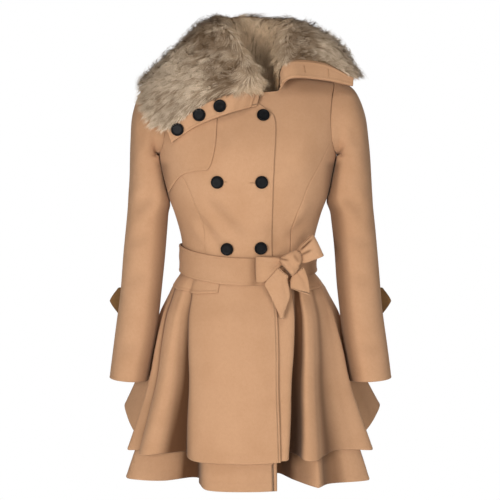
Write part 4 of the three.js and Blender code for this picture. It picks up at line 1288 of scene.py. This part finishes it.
def place_group(k, shader, name, inputs, bump, distance):
    """Puts a group in a material, made at its first use, and joins its outputs to the shader."""
    if name not in bpy.data.node_groups:
        GROUPS[name](name)
    node = k.add("Group", node_tree=bpy.data.node_groups[name])
    set_inputs(node, inputs)
    k.feed(shader.inputs["Base Color"], node.outputs["Colour"])
    k.feed(shader.inputs["Roughness"], node.outputs["Roughness"])
    relief = k.add("Bump", {"Height": node.outputs["Height"], "Strength": bump,
                            "Distance": distance})
    k.feed(shader.inputs["Normal"], relief.outputs["Normal"])


def wool_material(name, colour, deep, fibre=700.0, sheen=0.12):
    """Brushed wool in a colour, with a faint warm sheen."""
    made, k, shader = new_material(name)
    place_group(k, shader, "wool_nap",
                {"Colour": srgb(colour), "Deep": srgb(deep), "Fibre": fibre}, 0.5, 0.0006)
    set_inputs(shader, {"Sheen Weight": sheen, "Sheen Roughness": 0.55,
                        "Sheen Tint": (1.0, 0.86, 0.72, 1), "Specular IOR Level": 0.12})
    return made


def fur_material(name, colours):
    """Fur from its dark roots to its light tips, outside and inside the neck; the strands inside
    the neck are lighter, partly their own tone and partly painted light against the shade there.
    """
    made, k, shader = new_material(name)
    along, inside, place = k.attribute("shade"), k.attribute("seam"), k.place()
    patches = k.ramp(k.noise(place, 17.0, 3.0), 0.35, 0.7)
    streaks = k.noise(place, 160.0, 3.0)
    root = k.mix(inside, srgb(colours.fur_root), srgb(colours.fur_inner_root))
    middle = k.mix(inside, srgb(colours.fur), srgb(colours.fur_inner))
    tip = k.mix(inside, srgb(colours.fur_tip), srgb(colours.fur_inner))
    body = k.mix(k.ramp(along, 0.0, 0.6), root, middle)
    body = k.mix(k.ramp(along, 0.6, 1.2), body, tip)
    body = k.mix(k.times(patches, 0.38), body, srgb(colours.fur_root))
    body = k.mix(k.times(k.ramp(streaks, 0.55, 0.8), 0.35), body, srgb(colours.fur_tip))
    k.feed(shader.inputs["Base Color"], body)
    set_inputs(shader, {"Roughness": 0.62, "Sheen Weight": 0.08, "Sheen Roughness": 0.4,
                        "Specular IOR Level": 0.12})
    return made


def horn_material(name, colours):
    """Polished black horn, a little rubbed."""
    made, k, shader = new_material(name)
    place_group(k, shader, "handling_wear", {
        "Colour": srgb(colours.horn), "Rubbed": (0.012, 0.012, 0.013, 1), "Gloss": 0.36},
        0.1, 0.0002)
    set_inputs(shader, {"Specular IOR Level": 0.06})
    return made


def thread_material(name, colours):
    """Sewing thread, finer than the wool."""
    made, k, shader = new_material(name)
    place_group(k, shader, "wool_nap", {
        "Colour": srgb(colours.thread), "Deep": srgb(colours.camel_deep), "Fibre": 1500.0},
        0.3, 0.0002)
    set_inputs(shader, {"Specular IOR Level": 0.3})
    return made


def material(name):
    """The named material, made at its first use."""
    if name in bpy.data.materials:
        return bpy.data.materials[name]
    colours = bpy.context.scene.coat_colours
    if name == "fur_pile":
        return fur_material(name, colours)
    if name == "black_horn":
        return horn_material(name, colours)
    if name == "thread":
        return thread_material(name, colours)
    return wool_material(name, *{
        "coat_wool": (colours.camel, colours.camel_deep),
        # the tabs' wool is a shaded copy of the camel wool: painted shade
        "tab_wool_shaded": (colours.tab, colours.tab_deep, 900.0, 0.1),
        "fur_skin": (colours.fur_root, colours.fur_inner_root, 500.0, 0.0),
    }[name])


# ---- sizes and colours that a user may change ----
def colour(label, text, value):
    """A colour that a user may change."""
    return bpy.props.FloatVectorProperty(name=label, description=text, default=value, min=0, max=1,
                                         size=3, subtype="COLOR")


def distance(label, text, value):
    """A distance that a user may change, in metres."""
    return bpy.props.FloatProperty(name=label, description=text, default=value, min=0,
                                   unit="LENGTH", subtype="DISTANCE")


class CoatSizes(bpy.types.PropertyGroup):
    """Sizes of the fur, the buttons, the stitches and the stage"""
    pile: distance("Pile", "Depth of the fur over its skin", PILE * MM)
    strand: distance("Strand", "Length of a usual strand of fur", 0.038)
    button: distance("Button", "Radius of a button", 0.013)
    stitch: distance("Stitch", "Distance from one stitch to the next", 0.0044)
    inset: distance("Stitch inset", "Distance of a stitched line from its edge", 0.0068)
    floor: distance("Floor", "How far the floor lies below the neck", 1.42)
    strands: bpy.props.IntProperty(name="Strands", default=36000, min=100,
                                   description="Strands in each of the four parts of the fur")


class CoatColours(bpy.types.PropertyGroup):
    """Colours of the cloth, the fur, the buttons and the floor"""
    camel: colour("Camel", "Brushed face of the cloth", (0.492, 0.279, 0.156))
    # Deep camel is also the colour of the painted shade along seams and stitched edges.
    camel_deep: colour("Deep camel", "Cloth between its fibres and along seams",
                       (0.34, 0.17, 0.078))
    thread: colour("Thread", "Sewing thread", (0.49, 0.29, 0.16))
    # The tab colours are a shaded copy of the camel: painted shade for tabs that stand out edge-on
    # in shadow.
    tab: colour("Tab", "Darker cloth of the sleeve tabs", (0.235, 0.125, 0.048))
    tab_deep: colour("Deep tab", "Depth of the sleeve tabs' cloth", (0.06, 0.025, 0.008))
    fur: colour("Fur", "Middle of the outer strands", (0.35, 0.243, 0.152))
    fur_tip: colour("Fur tip", "Tips of the outer strands", (0.80, 0.645, 0.475))
    fur_root: colour("Fur root", "Roots of the outer strands", (0.13, 0.072, 0.036))
    # The inner fur colours are lighter than the outer ones, partly the fur's own tone and partly
    # painted light against the shade inside the neck.
    fur_inner: colour("Inner fur", "Strands inside the neck", (0.72, 0.52, 0.33))
    fur_inner_root: colour("Inner root", "Roots inside the neck", (0.38, 0.26, 0.155))
    horn: colour("Button", "Black of the buttons", (0.006, 0.006, 0.0065))
    floor: colour("Floor", "Pale studio floor", (0.86, 0.86, 0.86))


# ---- the steps ----
WOOL = "coat_wool"
PANELS = {}


class Step:
    """What each operator of the coat shares."""
    bl_options = {"REGISTER"}

    def execute(self, context):
        self.build(context.scene.coat_sizes, context.scene.coat_colours)
        return {"FINISHED"}


def cloth(name, panel, finish=WOOL, slot="coat_cloth", out=0.0, thick=CLOTH):
    obj = panel.cloth(name, finish, slot, out, thick)
    PANELS[name] = panel


class COAT_OT_body(Step, bpy.types.Operator):
    """Make the fronts, side fronts and backs"""
    bl_idname = "coat.body"
    bl_label = "Body panels"

    def build(self, sizes, colours):
        cloth("front_right", front_right())
        cloth("front_left", front_left())
        for side, label in SIDES:
            cloth(f"side_front_{label}", side_front(side))
            cloth(f"back_{label}", back_panel(side))


STORM_LIFT = 1.6        # clearance of the storm flap, which hangs loose


class COAT_OT_storm_flap(Step, bpy.types.Operator):
    """Make the loose flap over the right chest"""
    bl_idname = "coat.storm_flap"
    bl_label = "Storm flap"

    def build(self, sizes, colours):
        cloth("storm_flap", storm_panel(), out=STORM_LIFT + CLOTH)


class COAT_OT_sleeves(Step, bpy.types.Operator):
    """Make the two set-in sleeves"""
    bl_idname = "coat.sleeves"
    bl_label = "Sleeves"

    def build(self, sizes, colours):
        for side, label in SIDES:
            cloth(f"sleeve_{label}", sleeve_panel(side))


class COAT_OT_sleeve_tabs(Step, bpy.types.Operator):
    """Make the pointed tabs near the cuffs"""
    bl_idname = "coat.sleeve_tabs"
    bl_label = "Sleeve tabs"

    def build(self, sizes, colours):
        for side, label in SIDES:
            cloth(f"sleeve_tab_{label}", tab_panel(side),
                  finish="tab_wool_shaded", slot="tab_cloth", out=TAB_THICK, thick=TAB_THICK)


# The layers of the skirt: length, distance in from the outer layer, depth of a fold at which its
# painted shade is full, and the folds and painted crease shade of each part.
LAYERS = (
    ("upper", OUTER_DROP, 0.0, UPPER_SHADE_DEPTH, RIGHT_FOLDS, RIGHT_CREASE_SHADE, LEFT_FOLDS, LEFT_CREASE_SHADE,
     BACK_FOLDS),
    ("lower", UNDER_DROP, UNDER_GAP, LOWER_SHADE_DEPTH, UNDER_RIGHT_FOLDS, UNDER_RIGHT_CREASE_SHADE,
     UNDER_LEFT_FOLDS, UNDER_LEFT_CREASE_SHADE, UNDER_BACK_FOLDS))


class COAT_OT_skirt(Step, bpy.types.Operator):
    """Make the two layers of the flared skirt"""
    bl_idname = "coat.skirt"
    bl_label = "Skirt"

    def build(self, sizes, colours):
        for (layer, drop, gap, dark, right, right_crease_shade, left, left_crease_shade, back) in LAYERS:
            def level(at):
                return np.full(at.shape, gap)

            def under(at):
                turn = smooth(left["waist"], at)
                return gap + OVERLAP_DEPTH * (1 - after(turn, *OVERLAP_TURN))

            parts = {
                "right": skirt_panel(right, drop, 9, level, -SEAM, dark, right_crease_shade,
                                     left="seam", right="fold"),
                "left": skirt_panel(left, drop, 8, under, -SEAM, dark, left_crease_shade,
                                    left="fold", right="seam"),
                "back": skirt_panel(back, drop, 8, level, SEAM, BACK_SHADE_DEPTH,
                                    left="seam", right="seam"),
            }
            for part, panel in parts.items():
                cloth(f"skirt_{layer}_{part}", panel)


# Pocket flaps: first fold, how many thirds of a fold wide, and how far down each end reaches.
FLAPS = (("right", RIGHT_FOLDS, 2 / 3, 27, 53, 65), ("left", LEFT_FOLDS, 19 / 3, 13, 60, 54))


class COAT_OT_pocket_flaps(Step, bpy.types.Operator):
    """Make the pocket flaps under the belt"""
    bl_idname = "coat.pocket_flaps"
    bl_label = "Pocket flaps"

    def build(self, sizes, colours):
        for label, *places in FLAPS:
            cloth(f"pocket_flap_{label}", flap_panel(*places),
                  out=LIFT + CLOTH)


# The bow: stations of each strip, how far it is crowned, and how its free end is finished.
BOW = (("bow_loop_right", LEFT_LOOP, 1.6, "plain"), ("bow_loop_left", RIGHT_LOOP, 1.6, "plain"),
       ("belt_end_long", LONG_TAIL, 2.2, "fold"), ("belt_end_short", SHORT_TAIL, 2.0, "fold"))
BOW_OUT, BOW_THICK = 1.2, 2.4   # outer face and wall of its strips


class COAT_OT_belt(Step, bpy.types.Operator):
    """Make the tied belt, its bow and its knot"""
    bl_idname = "coat.belt"
    bl_label = "Belt and bow"

    def build(self, sizes, colours):
        cloth("belt", belt_panel(), out=BELT_THICK,
              thick=BELT_THICK)
        for name, *shape in BOW:
            cloth(name, ribbon_panel(*shape), out=BOW_OUT, thick=BOW_THICK)
        points, faces, crease_shade = knot_mesh()
        obj = make("bow_knot_cloth", points, faces, material(WOOL), seam=np.zeros(len(points)),
                   shade=crease_shade)
        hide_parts("bow_knot")


BAND_LIFT = 0.7         # clearance of a cloth band on the collar cloth


class COAT_OT_collar(Step, bpy.types.Operator):
    """Make the collar's under side, its stand and the cloth bands at its ends"""
    bl_idname = "coat.collar"
    bl_label = "Collar cloth"

    def build(self, sizes, colours):
        shares = np.concatenate([[0, 0.01], np.linspace(0.03, 1, 60)])
        p, n = collar_grid(fine(COLLAR_END, 10), shares)
        cloth("collar_cloth", Panel(p, n, left="plain", right="plain", top="plain"))
        near = BAND_ROWS * fine(4, 5) / 4
        for label, sections, front in (("right", near, 0.3),
                                       ("left", COLLAR_END - near[::-1], 1.0)):
            cloth(f"collar_band_{label}", band_panel(sections, front),
                  out=BAND_LIFT + CLOTH)


FUR_PARTS = 4
SKIN_OUT, SKIN_IN = 1.9, 0.6    # faces of the fur's skin over the collar cloth


class COAT_OT_fur(Step, bpy.types.Operator):
    """Make the fur: its skin, and its strands in four parts"""
    bl_idname = "coat.fur"
    bl_label = "Fur"

    def build(self, sizes, colours):
        field = p, n, _, _ = fur_field()
        skin = make("collar_fur_skin", *shell_mesh(p + n * SKIN_OUT, p + n * SKIN_IN),
                    material("fur_skin"))
        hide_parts("collar_fur")
        cuts = np.linspace(0, len(FUR_SECTIONS) - 1, FUR_PARTS + 1).astype(int)
        count = sizes.strands
        for part in range(1, FUR_PARTS + 1):
            points, faces, bright, shade, inside = strands(
                field, count, part, cuts[part - 1], cuts[part], sizes.strand / MM,
                sizes.pile / MM)
            obj = make(f"collar_fur_strands_{part}", points, faces, material("fur_pile"),
                       seam=inside, normals=bright, shade=shade)


class COAT_OT_buttons(Step, bpy.types.Operator):
    """Make the buttons of the front and of the collar band"""
    bl_idname = "coat.buttons"
    bl_label = "Buttons"

    def build(self, sizes, colours):
        radius = sizes.button / MM
        for k, (x, height, lift) in enumerate(FRONT_BUTTONS):
            p, n = body_points(spot(x, height))
            self.one(f"front_button_{k + 1}", p + n * (lift + 0.5), n, radius)
        for k, (share, lift) in enumerate(BAND_BUTTONS):
            p, n = collar_place(BAND_ROWS / 2, share)
            p = p + n * (LIFT + CLOTH)
            self.one(f"collar_button_{k + 1}", p + n * lift, n, radius)

    @staticmethod
    def one(name, centre, normal, radius):
        points, faces = button_mesh(centre, normal, radius)
        obj = make(name + "_horn", points, faces, material("black_horn"))
        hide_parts(name)


# Distance of a stitched line from its edge, in millimetres.
FLAP_INSET = 5.5        # pocket flaps, belt and collar bands
STRAP_INSET = 5.0       # belt ends, loops and sleeve tabs
SKIRT_HEM = 18
SLEEVE_HEM = 24


def along(panels, edges, by):
    """Stitched lines: each edge of each panel, at a distance."""
    return [(panel, edge, by) for panel in panels.split() for edge in edges.split()]


class COAT_OT_sewing(Step, bpy.types.Operator):
    """Make the stitched lines and the buttonholes"""
    bl_idname = "coat.sewing"
    bl_label = "Sewing"

    def build(self, sizes, colours):
        by = sizes.inset / MM
        groups = {
            "stitching_front": along("front_right", "right", by)
            + along("storm_flap", "right bottom", by),
            "stitching_skirt": along("skirt_upper_right", "right", by)
            + along("pocket_flap_right", "top right", FLAP_INSET)
            + along("pocket_flap_left", "top left", FLAP_INSET)
            + along("skirt_upper_right skirt_upper_left skirt_upper_back skirt_lower_right"
                    " skirt_lower_left skirt_lower_back", "top", SKIRT_HEM),
            "stitching_belt": along("belt", "top bottom", FLAP_INSET)
            + along("belt_end_long", "left right", STRAP_INSET)
            + along("belt_end_short", "left right top", STRAP_INSET)
            + along("bow_loop_left bow_loop_right", "left right", STRAP_INSET),
            "stitching_collar": along("collar_band_right", "left top", FLAP_INSET)
            + along("collar_band_left", "right top", FLAP_INSET),
            "stitching_sleeves": along("sleeve_right sleeve_left", "top", SLEEVE_HEM),
            "stitching_tabs": along("sleeve_tab_right sleeve_tab_left", "bottom right top",
                                    STRAP_INSET),
        }
        for name, lines in groups.items():
            rows = [PANELS[panel].inset(edge, inset) for panel, edge, inset in lines]
            if name == "stitching_tabs":
                rows += [(line - ways * TAB_THICK, -ways, fold) for line, ways, fold in rows]
            sew(name, rows, pitch=sizes.stitch / MM)
        holes = []
        for x, height in FRONT_HOLES:
            p, n = body_points(spot(x, height))
            holes.append(slit(p + n * 0.3, n, (1, 0, 0.05), 25))
        for share in BAND_HOLES:
            p, n = collar_place(BAND_HOLE_SECTION, share)
            holes.append(slit(p + n * (0.9 + CLOTH), n, (0, 0, 1), 17))
        sew("buttonholes", holes, pitch=1.1, length=1.6, half=0.5, rise=0.45)


# Soft lights: place, power in watts and size.
LIGHTS = {
    "key_softbox": ((-1.0, -2.7, -0.3), 54, 0.9),
    "fill_softbox": ((1.0, -2.9, -0.5), 35, 1.4),
    "top_softbox": ((0.2, -2.0, 1.7), 12, 1.0),
    "back_softbox": ((0.4, 2.4, 0.9), 60, 1.8),
}
LIGHT_AIM = (0, 0, -0.4)
FLOOR_REACH = 2.0
SURROUND_LIGHT = 0.13           # strength of the surround as a light
CAMERA_PLACE = (0.004, -3.0, -0.17)
CAMERA_AIM = (0.004, 0, -0.374)
CAMERA_LENS = 103.09            # in millimetres, before a 36 mm sensor


def put(obj, place=(0, 0, 0), aim=None):
    """Puts an object in the scene, turned to a place that it aims at."""
    obj.location = place
    if aim is not None:
        way = Vector(aim) - Vector(place)
        obj.rotation_euler = way.to_track_quat("-Z", "Y").to_euler()
    bpy.context.scene.collection.objects.link(obj)
    return obj


class COAT_OT_stage(Step, bpy.types.Operator):
    """Make the floor, the soft lights, the pale surround and the camera"""
    bl_idname = "coat.stage"
    bl_label = "Stage"

    def build(self, sizes, colours):
        self.floor(sizes, colours)
        for name, (place, power, size) in LIGHTS.items():
            lamp = bpy.data.lights.new(name, "AREA")
            lamp.energy, lamp.size = power, size
            put(bpy.data.objects.new(name, lamp), place, LIGHT_AIM)
        self.surround()
        lens = bpy.data.cameras.new("camera")
        lens.lens, lens.sensor_width = CAMERA_LENS, 36.0
        camera = put(bpy.data.objects.new("camera", lens), CAMERA_PLACE, CAMERA_AIM)
        bpy.context.scene.camera = camera
        bpy.context.scene.view_settings.view_transform = "Standard"

    @staticmethod
    def floor(sizes, colours):
        """A round floor of pale paint."""
        count = 96
        turn = np.arange(count) * 2 * np.pi / count
        mesh = bpy.data.meshes.new("studio_floor")
        mesh.from_pydata([(FLOOR_REACH * math.cos(t), FLOOR_REACH * math.sin(t), -sizes.floor)
                          for t in turn], [], [list(range(count))])
        made, k, shader = new_material("floor_paint")
        tone = k.mix(k.times(k.noise(k.place(), 3.0), 0.05), srgb(colours.floor),
                     (0.78, 0.78, 0.78, 1))
        k.feed(shader.inputs["Base Color"], tone)
        set_inputs(shader, {"Roughness": 0.8})
        mesh.materials.append(made)
        put(bpy.data.objects.new("studio_floor", mesh))

    @staticmethod
    def surround():
        """White where the camera sees it, and softer as a light."""
        world = bpy.data.worlds.new("studio_surround")
        world.use_nodes = True
        k = Nodes(world.node_tree)
        back = world.node_tree.nodes["Background"]
        seen = k.add("LightPath").outputs["Is Camera Ray"]
        k.feed(back.inputs["Strength"], k.spread(seen, SURROUND_LIGHT, 1.0))
        set_inputs(back, {"Color": (1, 1, 1, 1)})
        bpy.context.scene.world = world


STEPS = (COAT_OT_body, COAT_OT_storm_flap, COAT_OT_sleeves, COAT_OT_sleeve_tabs, COAT_OT_skirt,
         COAT_OT_pocket_flaps, COAT_OT_belt, COAT_OT_collar, COAT_OT_fur, COAT_OT_buttons,
         COAT_OT_sewing, COAT_OT_stage)


class COAT_PT_steps(bpy.types.Panel):
    """The coat's steps, sizes and colours in the sidebar"""
    bl_idname = "COAT_PT_steps"
    bl_label = "Belted swing coat"
    bl_space_type = "VIEW_3D"
    bl_region_type = "UI"
    bl_category = "Coat"

    def draw(self, context):
        for step in STEPS:
            self.layout.operator(step.bl_idname)
        for settings in (context.scene.coat_sizes, context.scene.coat_colours):
            for name in settings.__annotations__:
                self.layout.prop(settings, name)


CLASSES = (CoatSizes, CoatColours, *STEPS, COAT_PT_steps)


def register():
    for item in CLASSES:
        bpy.utils.register_class(item)
    bpy.types.Scene.coat_sizes = bpy.props.PointerProperty(type=CoatSizes)
    bpy.types.Scene.coat_colours = bpy.props.PointerProperty(type=CoatColours)


def unregister():
    del bpy.types.Scene.coat_colours
    del bpy.types.Scene.coat_sizes
    for item in reversed(CLASSES):
        bpy.utils.unregister_class(item)


def main():
    """Makes the coat and its stage, one step after the other."""
    register()
    for step in STEPS:
        area, name = step.bl_idname.split(".")
        getattr(getattr(bpy.ops, area), name)()


if __name__ == "__main__":
    main()
